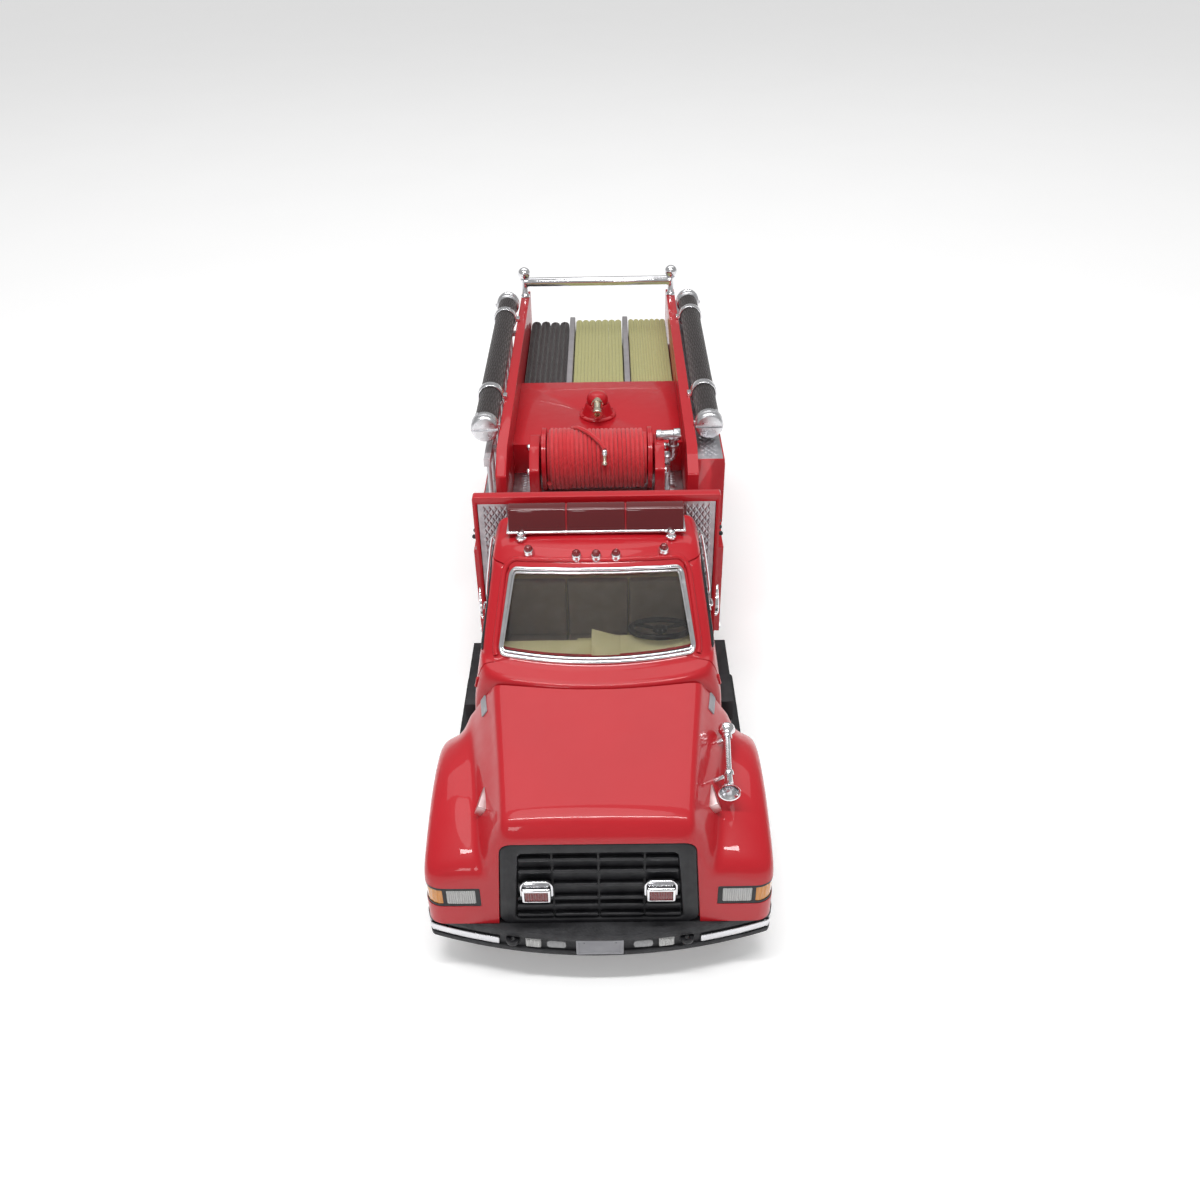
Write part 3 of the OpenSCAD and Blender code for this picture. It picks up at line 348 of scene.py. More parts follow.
@dataclass(frozen=True)
class Rubber(Finish):
    """Soft vinyl tyre rubber with a dusty bloom."""

    colour: Colour = (0.014, 0.014, 0.015)
    bloom: Colour = (0.045, 0.043, 0.042)

    def build(self) -> Shader:
        """Build the node tree.

        Returns:
            The finished shader.
        """
        shader = Shader(self.name, base=self.colour, specular=0.3)
        shader.blend(shader.limit(shader.noise(0.5, 6.0), 0.0, 1.0, 0.4, 0.75), self.colour, self.bloom)
        shader.rough(shader.noise(1.2, 4.0), 0.58, 0.78)
        shader.relief((shader.noise(6.0, 4.0), 0.12, 0.05))
        return shader


@dataclass(frozen=True)
class Lens(Finish):
    """Clear or tinted lens plastic with moulded flutes."""

    colour: Colour
    clear: float
    flutes: float = 0.0
    axis: Axis = Axis.X
    roughness: float = 0.08

    def build(self) -> Shader:
        """Build the node tree.

        Returns:
            The finished shader.
        """
        shader = Shader(self.name, base=self.colour, transmission=self.clear, ior=1.49,
                        coat=0.5, coat_roughness=0.04)
        shader.rough(shader.noise(1.5, 3.0), self.roughness, self.roughness + 0.08)
        bumps = [(shader.noise(1.6, 2.0), 0.04, 0.05)]
        if self.flutes:
            bumps.append((shader.waves(self.flutes, self.axis), 0.5, 0.12))
        shader.relief(*bumps)
        return shader


@dataclass(frozen=True)
class Jacket(Finish):
    """Hose jacket: a woven surface whose threads cross, with painted shade in the hollows between the
    threads.
    """

    colour: Colour
    # Painted shade: the colour laid in the hollows of the weave.
    shade: Colour
    pitch: float = 2.2
    depth: float = 0.12
    roughness: float = 0.75

    def build(self) -> Shader:
        """Build the node tree.

        Returns:
            The finished shader.
        """
        shader = Shader(self.name, base=self.colour, sheen=0.25, specular=0.25)
        warp = shader.waves(self.pitch, Axis.X, 0.4, (0.0, 0.0, 45.0))
        weft = shader.waves(self.pitch, Axis.Y, 0.4, (0.0, 0.0, 45.0))
        cross = shader.tree.nodes.new("ShaderNodeMath")
        cross.operation = "MULTIPLY"
        shader.tree.links.new(warp, cross.inputs[0])
        shader.tree.links.new(weft, cross.inputs[1])
        both = shader.tree.nodes.new("ShaderNodeMath")
        both.operation = "ADD"
        shader.tree.links.new(cross.outputs[0], both.inputs[0])
        shader.tree.links.new(shader.limit(shader.noise(1.1, 4.0), -0.25, 0.25), both.inputs[1])
        # Painted shade: the shade colour fills the weave's hollows, the low parts of the same pattern that
        # the relief sinks, with random tone from the noise.
        shader.blend(both.outputs[0], self.shade, self.colour)
        shader.rough(shader.noise(1.0, 3.0), self.roughness - 0.1, self.roughness + 0.1)
        shader.relief((cross.outputs[0], 0.6, self.depth), (shader.noise(4.0, 3.0), 0.25, 0.08))
        return shader


RED = Lacquer("red_lacquer", (0.47, 0.010, 0.018), (0.43, 0.009, 0.016))
DEEP_RED = Lacquer("deep_red_lacquer", (0.31, 0.006, 0.012), (0.25, 0.005, 0.010), 0.04)
CHROME = Plating("bright_chrome", (0.84, 0.84, 0.86), (0.70, 0.70, 0.72), 0.10)
SILVER = Plating("silver_paint", (0.50, 0.50, 0.52), (0.40, 0.40, 0.42), 0.32, 0.10)
BRIGHT_SILVER = Plating("satin_silver", (0.72, 0.72, 0.74), (0.64, 0.64, 0.66), 0.24, 0.02)
# Silver with a pink tint, pinker in random patches.
PINK_SILVER = Plating("rubbed_silver", (0.72, 0.55, 0.55), (0.55, 0.38, 0.38), 0.30, 0.10)
STEEL = Plating("turned_steel", (0.55, 0.56, 0.58), (0.40, 0.40, 0.42), 0.22, 0.08)
TREAD = Plating("worn_tread_plate", (0.60, 0.60, 0.62), (0.42, 0.42, 0.45), 0.30, 0.08)
BRASS = Plating("worn_brass", (0.80, 0.74, 0.60), (0.62, 0.56, 0.42), 0.20, 0.06)
BLACK = Moulding("black_moulding", (0.012, 0.012, 0.014), (0.028, 0.028, 0.031), 0.38)
STIPPLE = Moulding("stippled_black", (0.014, 0.014, 0.016), (0.04, 0.04, 0.044), 0.5, 0.6, 2.6)
FRAME = Moulding("frame_black", (0.016, 0.016, 0.018), (0.035, 0.034, 0.034), 0.5, 0.2)
GREY = Moulding("grey_moulding", (0.24, 0.23, 0.24), (0.32, 0.31, 0.32), 0.5)
TAN = Moulding("tan_moulding", (0.66, 0.63, 0.36), (0.72, 0.69, 0.44), 0.5)
LINING = Moulding("dark_lining", (0.34, 0.30, 0.26), (0.41, 0.36, 0.32), 0.6)
PLATE_GREY = Moulding("plate_grey", (0.30, 0.30, 0.32), (0.24, 0.24, 0.26), 0.4, 0.05)
WHITE = Moulding("dial_white", (0.72, 0.72, 0.70), (0.60, 0.60, 0.58), 0.4)
TYRE = Rubber("moulded_rubber")
SMOKED = Lens("smoked_glass", (0.88, 0.86, 0.82), 1.0, roughness=0.02)
CLEAR = Lens("clear_fluted_lens", (0.62, 0.62, 0.61), 0.35, 1.4)
FROSTED = Lens("frosted_lens", (0.32, 0.32, 0.33), 0.2, 1.2)
AMBER = Lens("amber_fluted_lens", (0.80, 0.30, 0.02), 0.3, 1.4)
RUBY = Lens("ruby_lens", (0.22, 0.008, 0.012), 0.3, 1.0)
BAR_RED = Lens("bar_lens_red", (0.115, 0.003, 0.006), 0.12, roughness=0.03)
# Each jacket's second colour is painted shade for the weave's hollows.
DARK_HOSE = Jacket("dark_jacket", (0.030, 0.020, 0.020), (0.012, 0.008, 0.008), 2.6)
CREAM_HOSE = Jacket("cream_jacket", (0.44, 0.425, 0.19), (0.37, 0.355, 0.145), 3.0, 0.08)
RED_HOSE = Jacket("red_jacket", (0.70, 0.038, 0.048), (0.50, 0.020, 0.026), 4.0, 0.04, 0.5)


# ---------------------------------------------------------------- modelling


@dataclass(frozen=True)
class Span:
    """A CAD node's box at rest, in millimetres."""

    low: Vector
    high: Vector

    @staticmethod
    def of(node: str) -> "Span":
        """The box of a CAD node."""
        low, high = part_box(node)
        return Span(low / MM, high / MM)

    @property
    def mid(self) -> Vector:
        """The box's centre."""
        return (self.low + self.high) / 2

    @property
    def size(self) -> Vector:
        """The box's edge lengths."""
        return self.high - self.low


def shift(x: float = 0.0, y: float = 0.0, z: float = 0.0) -> Matrix:
    """Translation matrix."""
    return Matrix.Translation((x, y, z))


def spin_by(degrees: float, axis: Axis) -> Matrix:
    """Rotation matrix about an axis through the origin."""
    return Matrix.Rotation(math.radians(degrees), 4, axis.name)


def cuboid(low: Sequence[float], high: Sequence[float], round_by: float = 0.0, steps: int = 2) -> Solid:
    """Box between two corners with rounded edges.

    Args:
        low: Lowest corner.
        high: Highest corner.
        round_by: Radius of every edge.
        steps: Segments of the rounding.

    Returns:
        The new mesh.
    """
    bm = bmesh.new()
    a, b = Vector(low), Vector(high)
    place = Matrix.Translation((a + b) / 2) @ Matrix.Diagonal((*(b - a), 1.0))
    bmesh.ops.create_cube(bm, size=1.0, matrix=place)
    if round_by > 0:
        soften_edges(bm, round_by, steps, 10.0)
    return bm


def soften_edges(bm: Solid, width: float, steps: int = 2, above: float = 30.0) -> None:
    """Round every edge that is sharper than an angle.

    Args:
        bm: Mesh to change.
        width: Width of the rounding, in the mesh's own unit.
        steps: Segments of the rounding.
        above: Smallest face angle, in degrees, of an edge that is rounded.
    """
    sharp = [e for e in bm.edges if e.is_manifold and e.calc_face_angle(0.0) > math.radians(above)]
    bmesh.ops.bevel(bm, geom=sharp, offset=width, offset_type="OFFSET", segments=steps, profile=0.5,
                    affect="EDGES", clamp_overlap=True, material=-1)


def rod(radius: float, length: float, sides: int = 24, round_by: float = 0.0,
        end_radius: float | None = None) -> Solid:
    """Rod or cone from the origin along +Z.

    Args:
        radius: Radius at the origin.
        length: Length along +Z.
        sides: Facets round it.
        round_by: Rounding of its two rims.
        end_radius: Radius at the far end, if it isn't the same.

    Returns:
        The new mesh.
    """
    bm = bmesh.new()
    far = radius if end_radius is None else end_radius
    bmesh.ops.create_cone(bm, cap_ends=True, cap_tris=False, segments=sides, radius1=radius,
                          radius2=far, depth=length, matrix=shift(z=length / 2))
    if round_by > 0:
        soften_edges(bm, round_by, 2, 50.0)
    return bm


def lathe(profile: Sequence[Flat], steps: int = 40) -> Solid:
    """Turn a profile of (radius, height) points about +Z.

    Args:
        profile: Points of the outline; it closes on itself unless both ends lie on the axis.
        steps: Facets round it.

    Returns:
        The new mesh, closed and facing outwards.
    """
    bm = bmesh.new()
    verts = [bm.verts.new((r, 0.0, z)) for r, z in profile]
    edges = [bm.edges.new(pair) for pair in zip(verts, verts[1:])]
    if profile[0][0] > 0 or profile[-1][0] > 0:
        edges.append(bm.edges.new((verts[-1], verts[0])))
    bmesh.ops.spin(bm, geom=verts + edges, cent=(0, 0, 0), axis=(0, 0, 1), angle=math.tau,
                   steps=steps, use_merge=True, use_duplicate=False)
    bmesh.ops.remove_doubles(bm, verts=bm.verts, dist=1e-4)
    bmesh.ops.recalc_face_normals(bm, faces=bm.faces)
    return bm


def slab(outline: Sequence[Flat], low: float, high: float, axis: Axis = Axis.Z,
         corners: float = 0.0, round_by: float = 0.0) -> Solid:
    """Flat outline made solid between two planes.

    Args:
        outline: Points of the outline, in the plane across the axis.
        low: Start along the axis.
        high: End along the axis.
        axis: Direction of the solid. X takes (y, z) points, Y takes (x, z) and Z takes (x, y).
        corners: Radius of the outline's corners.
        round_by: Rounding of the rims.

    Returns:
        The new mesh.
    """
    bm = bmesh.new()
    verts = [bm.verts.new((a, b, 0.0)) for a, b in outline]
    face = bmesh.ops.contextual_create(bm, geom=verts)["faces"][0]
    if corners > 0:
        bmesh.ops.bevel(bm, geom=list(bm.verts), offset=corners, offset_type="OFFSET", segments=5,
                        profile=0.5, affect="VERTICES", clamp_overlap=True, material=-1)
        face = next(iter(bm.faces))
    grown = bmesh.ops.extrude_face_region(bm, geom=[face])["geom"]
    raised = [g for g in grown if isinstance(g, bmesh.types.BMVert)]
    bmesh.ops.translate(bm, vec=(0, 0, high - low), verts=raised)
    bmesh.ops.recalc_face_normals(bm, faces=bm.faces)
    if round_by > 0:
        soften_edges(bm, round_by, 2, 50.0)
    bmesh.ops.translate(bm, vec=(0, 0, low), verts=bm.verts)
    if axis is Axis.X:
        bmesh.ops.transform(bm, matrix=Axis.X.turn(), verts=bm.verts)
    if axis is Axis.Y:
        bmesh.ops.transform(bm, matrix=Matrix(((1, 0, 0, 0), (0, 0, 1, 0), (0, 1, 0, 0), (0, 0, 0, 1))),
                            verts=bm.verts)
        bmesh.ops.reverse_faces(bm, faces=bm.faces)
    return bm


def loft(rings: Sequence[Sequence[Point]]) -> Solid:
    """Skin through closed rings of points, with both ends closed.

    Args:
        rings: Rings with the same number of points.

    Returns:
        The new mesh, closed and facing outwards.
    """
    bm = bmesh.new()
    loops = []
    for ring in rings:
        verts = [bm.verts.new(p) for p in ring]
        loops.append([bm.edges.new((v, verts[(i + 1) % len(verts)])) for i, v in enumerate(verts)])
    for near, far in zip(loops, loops[1:]):
        bmesh.ops.bridge_loops(bm, edges=near + far)
    for end in (loops[0], loops[-1]):
        bmesh.ops.contextual_create(bm, geom=end)
    bmesh.ops.recalc_face_normals(bm, faces=bm.faces)
    return bm


def hose(path: Sequence[Point], radius: float, sides: int = 12, closed: bool = False) -> Solid:
    """Round tube along a path.

    Args:
        path: Points that the tube's middle goes through.
        radius: Outer radius.
        sides: Facets round it.
        closed: Whether the path ends where it starts.

    Returns:
        The new mesh, with closed ends.
    """
    curve = bpy.data.curves.new("route", "CURVE")
    curve.dimensions = "3D"
    curve.bevel_depth = radius
    curve.bevel_resolution = max(0, sides // 4 - 1)
    curve.use_fill_caps = not closed
    spline = curve.splines.new("POLY")
    spline.points.add(len(path) - 1)
    for point, at in zip(spline.points, path):
        point.co = (*at, 1.0)
    spline.use_cyclic_u = closed
    holder = bpy.data.objects.new("route", curve)
    mesh = bpy.data.meshes.new_from_object(holder)
    bm = bmesh.new()
    bm.from_mesh(mesh)
    bmesh.ops.remove_doubles(bm, verts=bm.verts, dist=radius * 0.01)
    bmesh.ops.recalc_face_normals(bm, faces=bm.faces)
    bpy.data.objects.remove(holder)
    bpy.data.curves.remove(curve)
    bpy.data.meshes.remove(mesh)
    return bm


def smooth_path(points: Sequence[Point], steps: int = 8, closed: bool = False) -> list[Point]:
    """Points on a Catmull-Rom curve through some points.

    Args:
        points: Points to go through.
        steps: New points from one to the next.
        closed: Whether it ends where it starts.

    Returns:
        The finer list of points.
    """
    at = [Vector(p) for p in points]
    count = len(at)
    spans = range(count if closed else count - 1)
    fine = []
    for i in spans:
        if closed:
            a, b, c, d = (at[(i + k) % count] for k in (-1, 0, 1, 2))
        else:
            a, b, c, d = (at[min(max(i + k, 0), count - 1)] for k in (-1, 0, 1, 2))
        for k in range(steps):
            t = k / steps
            fine.append(tuple(0.5 * (2 * b + (c - a) * t + (2 * a - 5 * b + 4 * c - d) * t * t
                                     + (3 * b - a - 3 * c + d) * t ** 3)))
    if not closed:
        fine.append(tuple(at[-1]))
    return fine


def circle(radius: float, count: int = 24) -> list[Flat]:
    """Points round a circle."""
    return [(radius * math.cos(math.tau * i / count), radius * math.sin(math.tau * i / count))
            for i in range(count)]


def oblong(x: float, y: float) -> list[Flat]:
    """Oblong outline round the origin, of two half sizes."""
    return [(-x, -y), (x, -y), (x, y), (-x, y)]


class Form:
    """A piece being put together from meshes, in millimetres."""

    def __init__(self) -> None:
        """Start an empty piece."""
        self.bm = bmesh.new()

    def add(self, part: Solid, *places: Matrix) -> "Form":
        """Add a mesh once, or once at each place.

        Args:
            part: Mesh to add; it is used up.
            places: Where each copy goes.

        Returns:
            This form.
        """
        scratch = bpy.data.meshes.new("scratch")
        part.to_mesh(scratch)
        part.free()
        for place in places or (Matrix.Identity(4),):
            scratch.transform(place)
            self.bm.from_mesh(scratch)
            scratch.transform(place.inverted())
        bpy.data.meshes.remove(scratch)
        return self

    def mirror(self) -> "Form":
        """Add the mirror image of everything across the middle.

        Returns:
            This form.
        """
        twin = bmesh.ops.duplicate(self.bm, geom=self.bm.verts[:] + self.bm.edges[:]
                                   + self.bm.faces[:])["geom"]
        verts = [g for g in twin if isinstance(g, bmesh.types.BMVert)]
        bmesh.ops.scale(self.bm, vec=(-1, 1, 1), verts=verts)
        bmesh.ops.reverse_faces(self.bm, faces=[g for g in twin if isinstance(g, bmesh.types.BMFace)])
        return self

    def mesh(self, name: str, smooth_below: float = 35.0) -> bpy.types.Mesh:
        """The finished mesh in metres.

        Args:
            name: Name of the mesh.
            smooth_below: Face angle, in degrees, under which an edge is shaded smooth.

        Returns:
            The new mesh.
        """
        bmesh.ops.scale(self.bm, vec=(MM, MM, MM), verts=self.bm.verts)
        mesh = bpy.data.meshes.new(name)
        self.bm.to_mesh(mesh)
        self.bm.free()
        mesh.polygons.foreach_set("use_smooth", [True] * len(mesh.polygons))
        mesh.set_sharp_from_angle(angle=math.radians(smooth_below))
        return mesh

    def fit(self, name: str, finish: Finish, slot: str, *stands_for: str, body: Body = Body.TRUCK,
            smooth_below: float = 35.0) -> bpy.types.Object:
        """Make a finished piece of this form.

        Args:
            name: Name of the piece.
            finish: Its finish.
            slot: The record's material slot; not used.
            stands_for: CAD nodes that it stands for.
            body: The rigid body that it moves with.
            smooth_below: Face angle, in degrees, under which an edge is shaded smooth.

        Returns:
            The new object.
        """
        mesh = self.mesh(name, smooth_below)
        piece = bpy.data.objects.new(name, mesh)
        bpy.context.scene.collection.objects.link(piece)
        mesh.materials.clear()
        mesh.materials.append(finish.material())
        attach(piece, body.value)
        if stands_for:
            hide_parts(*stands_for)
        log.info("%s: %d faces on %s", name, len(mesh.polygons), body.value)
        return piece


def paint(node: str, finish: Finish) -> None:
    """Give a CAD node its finish.

    Args:
        node: The CAD node.
        finish: Its finish.
    """
    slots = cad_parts[node].data.materials
    slots.clear()
    slots.append(finish.material())
    log.info("%s: finished in %s", node, finish.name)


def cad_copy(node: str) -> Solid:
    """Merged copy of a CAD node's mesh, in millimetres, with its flat faces joined up.

    Args:
        node: The CAD node.

    Returns:
        The new mesh.
    """
    bm = bmesh.new()
    bm.from_mesh(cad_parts[node].data)
    bmesh.ops.scale(bm, vec=(1 / MM, 1 / MM, 1 / MM), verts=bm.verts)
    bmesh.ops.remove_doubles(bm, verts=bm.verts, dist=2e-3)
    bmesh.ops.dissolve_limit(bm, angle_limit=math.radians(1.0), verts=bm.verts, edges=bm.edges,
                             use_dissolve_boundaries=False)
    return bm


def casting(node: str, finish: Finish, slot: str, width: float = 0.2, body: Body = Body.TRUCK,
            extra: Callable[[Form], None] | None = None, smooth_below: float = 35.0) -> bpy.types.Object:
    """A CAD node as a casting with softened edges.

    Args:
        node: The CAD node.
        finish: Its finish.
        slot: The record's material slot.
        width: Width of the softened edges.
        body: The rigid body that it moves with.
        extra: Adds cast-on detail of the same finish.
        smooth_below: Face angle under which an edge is shaded smooth.

    Returns:
        The piece that stands for the node.
    """
    bm = cad_copy(node)
    soften_edges(bm, width, 2, 38.0)
    form = Form().add(bm)
    if extra is not None:
        extra(form)
    return form.fit(node + "_casting", finish, slot, node, body=body, smooth_below=smooth_below)


def carve(base: Solid, cutters: Iterable[Solid], operation: str = "DIFFERENCE") -> Solid:
    """Cut meshes from a mesh, or keep what they share.

    Args:
        base: Mesh that is cut; it is used up.
        cutters: Closed meshes, used in order; they are used up.
        operation: DIFFERENCE, INTERSECT or UNION.

    Returns:
        The cut mesh.
    """
    def holder(bm: Solid) -> bpy.types.Object:
        """An object that holds a mesh while it is cut."""
        mesh = bpy.data.meshes.new("blank")
        bm.to_mesh(mesh)
        bm.free()
        made = bpy.data.objects.new("blank", mesh)
        bpy.context.scene.collection.objects.link(made)
        return made

    blank = holder(base)
    tools = [holder(c) for c in cutters]
    for tool in tools:
        step = blank.modifiers.new("cut", "BOOLEAN")
        step.operation = operation
        step.solver = "EXACT"
        step.object = tool
    bpy.context.view_layer.update()
    mesh = bpy.data.meshes.new_from_object(blank.evaluated_get(bpy.context.evaluated_depsgraph_get()))
    out = bmesh.new()
    out.from_mesh(mesh)
    for item in (blank, *tools):
        data = item.data
        bpy.data.objects.remove(item)
        bpy.data.meshes.remove(data)
    bpy.data.meshes.remove(mesh)
    return out


def rounded(cage: Solid, levels: int = 2) -> Solid:
    """Catmull-Clark surface of a cage.

    Args:
        cage: Control mesh; it is used up.
        levels: Times that it is subdivided.

    Returns:
        The smooth mesh.
    """
    mesh = bpy.data.meshes.new("cage")
    cage.to_mesh(mesh)
    cage.free()
    holder = bpy.data.objects.new("cage", mesh)
    bpy.context.scene.collection.objects.link(holder)
    step = holder.modifiers.new("round", "SUBSURF")
    step.levels = step.render_levels = levels
    bpy.context.view_layer.update()
    fine = bpy.data.meshes.new_from_object(holder.evaluated_get(bpy.context.evaluated_depsgraph_get()))
    out = bmesh.new()
    out.from_mesh(fine)
    bpy.data.objects.remove(holder)
    bpy.data.meshes.remove(mesh)
    bpy.data.meshes.remove(fine)
    return out


def pocket(bm: Solid, toward: Point, rim: float, depth: float, slope: float = 0.04) -> Solid:
    """Sink the largest face that looks one way, and leave a rim round it.

    Args:
        bm: Mesh to change.
        toward: Direction that the face looks in.
        rim: Width of the flat rim.
        depth: How deep the face is sunk.
        slope: How far the sunk wall leans in.

    Returns:
        The same mesh.
    """
    way = Vector(toward)
    bm.normal_update()
    face = max((f for f in bm.faces if f.normal.dot(way) > 0.95), key=lambda f: f.calc_area())
    bmesh.ops.inset_region(bm, faces=[face], thickness=rim, use_even_offset=True)
    bmesh.ops.inset_region(bm, faces=[face], thickness=slope, use_even_offset=True)
    bmesh.ops.translate(bm, vec=-way * depth, verts=face.verts[:])
    return bm


def aim(start: Sequence[float], end: Sequence[float]) -> Matrix:
    """Place at a start, with +Z turned towards an end."""
    way = Vector(end) - Vector(start)
    return Matrix.Translation(Vector(start)) @ way.to_track_quat("Z", "Y").to_matrix().to_4x4()


class Surface:
    """A closed mesh that small fittings are seated on."""

    def __init__(self, bm: Solid) -> None:
        """Index a mesh.

        Args:
            bm: The mesh; it is used up.
        """
        self.tree = BVHTree.FromBMesh(bm)
        bm.free()

    def seat(self, start: Point, way: Point) -> Matrix:
        """Place whose +Z stands on the surface where a line first meets it.

        Args:
            start: Start of the line.
            way: Direction of the line.

        Returns:
            The place.
        """
        hit, normal, _, _ = self.tree.ray_cast(Vector(start), Vector(way).normalized())
        return aim(hit, hit + normal)


def flutes(width: float, height: float, count: int, proud: float = 0.1) -> Solid:
    """Row of upright flutes in the X-Z plane, bulging towards -Y.

    Args:
        width: Width of the row.
        height: Height of each flute.
        count: Number of flutes.
        proud: How far they bulge.

    Returns:
        The new mesh.
    """
    pitch = width / count
    places = [shift((i + 0.5) * pitch - width / 2, pitch / 2 - proud, -height / 2) for i in range(count)]
    return Form().add(rod(pitch / 2, height, 8), *places).bm


def lozenges(low: Flat, high: Flat, pitch: Flat = (1.1, 1.7), proud: float = 0.14) -> Solid:
    """Field of raised lozenges in the X-Y plane, standing on it towards +Z.

    Args:
        low: Lowest corner of the field.
        high: Highest corner of the field.
        pitch: Lengths of a lozenge's two diagonals, with its groove.
        proud: Height of a lozenge.

    Returns:
        The new mesh.
    """
    cell = bmesh.new()
    bmesh.ops.create_cone(cell, cap_ends=True, cap_tris=False, segments=4, radius1=0.47, radius2=0.22,
                          depth=proud, matrix=Matrix.Diagonal((pitch[0], pitch[1], 1.0, 1.0))
                          @ shift(z=proud / 2 - 0.01))
    across = int((high[0] - low[0]) / pitch[0])
    along = int((high[1] - low[1]) / pitch[1])
    x0 = (low[0] + high[0] - across * pitch[0]) / 2
    y0 = (low[1] + high[1] - along * pitch[1]) / 2
    places = [shift(x0 + (i + 0.5) * pitch[0], y0 + (j + 0.5) * pitch[1])
              for i in range(across) for j in range(along)]
    places += [shift(x0 + (i + 1) * pitch[0], y0 + (j + 1) * pitch[1])
               for i in range(across - 1) for j in range(along - 1)]
    return Form().add(cell, *places).bm


def folded_hose(low: Point, high: Point, strands: int, unevenness: float, crown: float) -> Solid:
    """Flat hose laid on edge, to and fro between two corners.

    Args:
        low: Lowest corner of the load.
        high: Highest corner of the load.
        strands: Number of runs side by side.
        unevenness: How much the runs' heights differ.
        crown: How far each run's edges lie under its middle, as a share of its half width.

    Returns:
        The new mesh.
    """
    pitch = (high[0] - low[0]) / strands
    half = pitch * 0.495
    reach = 1.1
    route: list[tuple[Vector, Vector, float]] = []
    for run in range(strands):
        x = low[0] + (run + 0.5) * pitch
        ends = [low[1] + pitch, high[1] - pitch]
        way = 1.0 if run % 2 == 0 else -1.0
        start, end = ends if way > 0 else ends[::-1]
        for k in range(9):
            y = start + (end - start) * k / 8
            top = high[2] - unevenness * (0.5 + 0.5 * math.sin(run * 2.3 + k * 0.7))
            route.append((Vector((x, y, 0)), Vector((way, 0, 0)), top))
        if run < strands - 1:
            for k in range(1, 6):
                turn = math.pi * k / 6
                across = x + pitch / 2 - pitch / 2 * math.cos(turn)
                at = Vector((across, end + way * math.sin(turn) * reach, 0))
                out = Vector((math.cos(turn) * way, -math.sin(turn), 0)).normalized()
                route.append((at, out, top))
    rings = []
    for at, out, top in route:
        edge, shoulder = top - half * crown, top - half * crown * 0.3
        profile = [(-half, low[2]), (-half, edge), (-half * 0.7, shoulder), (0.0, top),
                   (half * 0.7, shoulder), (half, edge), (half, low[2])]
        rings.append([(at.x + out.x * u, at.y + out.y * u, v) for u, v in profile])
    return loft(rings)


# ---------------------------------------------------------------- studio


@dataclass
class Studio:
    """Pale floor, soft light and the camera."""

    eye: Point = (2.71, -207.24, 159.66)
    right: Point = (0.99987, 0.00118, -0.01703)
    down: Point = (-0.01321, -0.57871, -0.81543)
    lens: float = 33.23
    floor_side: float = 6000.0

    def camera(self) -> None:
        """Put the camera in front of and above the model."""
        data = bpy.data.cameras.new("camera")
        data.lens = self.lens
        data.sensor_width = 36.0
        data.clip_start = 0.005
        camera = bpy.data.objects.new("camera", data)
        bpy.context.scene.collection.objects.link(camera)
        right = Vector(self.right).normalized()
        up = -Vector(self.down).normalized()
        back = right.cross(up)
        turn = Matrix((right, up, back)).transposed().to_4x4()
        camera.matrix_world = Matrix.Translation(Vector(self.eye) * MM) @ turn
        bpy.context.scene.camera = camera

    def floor(self) -> None:
        """Lay the pale floor."""
        form = Form()
        bm = bmesh.new()
        bmesh.ops.create_grid(bm, x_segments=1, y_segments=1, size=self.floor_side / 2,
                              matrix=shift(z=CAD_BOX[0].z / MM - 0.02))
        form.add(bm)
        mesh = form.mesh("floor")
        shader = Shader("pale_floor", base=(0.90, 0.90, 0.90), specular=0.2, glow=(1.0, 1.0, 1.0),
                        glow_strength=0.22)
        shader.rough(shader.noise(0.02, 3.0), 0.6, 0.75)
        mesh.materials.append(shader.material)
        floor = bpy.data.objects.new("floor", mesh)
        bpy.context.scene.collection.objects.link(floor)

    def lamp(self, name: str, at: Point, size: Flat, power: float, look: Point = (0.0, 0.0, 20.0)) -> None:
        """Hang one soft box.

        Args:
            name: Name of the lamp.
            at: Its place, in millimetres.
            size: Its width and depth, in millimetres.
            power: Its power in watts.
            look: The point that it faces, in millimetres.
        """
        data = bpy.data.lights.new(name, "AREA")
        data.shape = "RECTANGLE"
        data.size, data.size_y = size[0] * MM, size[1] * MM
        data.energy = power
        lamp = bpy.data.objects.new(name, data)
        bpy.context.scene.collection.objects.link(lamp)
        lamp.location = Vector(at) * MM
        lamp.rotation_mode = "QUATERNION"
        lamp.rotation_quaternion = (Vector(look) - Vector(at)).to_track_quat("-Z", "Y")

    def build(self) -> None:
        """Set up the studio."""
        self.camera()
        self.floor()
        self.lamp("key", (0.0, -120.0, 335.0), (300.0, 24.0), 0.68)
        self.lamp("front", (-160.0, -560.0, 300.0), (120.0, 120.0), 0.3)
        self.lamp("back", (0.0, 330.0, 600.0), (900.0, 240.0), 1.1)
        sun = bpy.data.lights.new("sky", "SUN")
        sun.energy = 0.5
        sun.angle = math.radians(30)
        holder = bpy.data.objects.new("sky", sun)
        holder.rotation_euler = (math.radians(-10), math.radians(-6), 0)
        bpy.context.scene.collection.objects.link(holder)
        world = bpy.data.worlds.new("studio")
        world.use_nodes = True
        world.node_tree.nodes["Background"].inputs["Color"].default_value = (1.0, 1.0, 1.0, 1.0)
        world.node_tree.nodes["Background"].inputs["Strength"].default_value = 0.40
        bpy.context.scene.world = world
        bpy.context.scene.view_settings.view_transform = "Standard"


# ---------------------------------------------------------------- nose


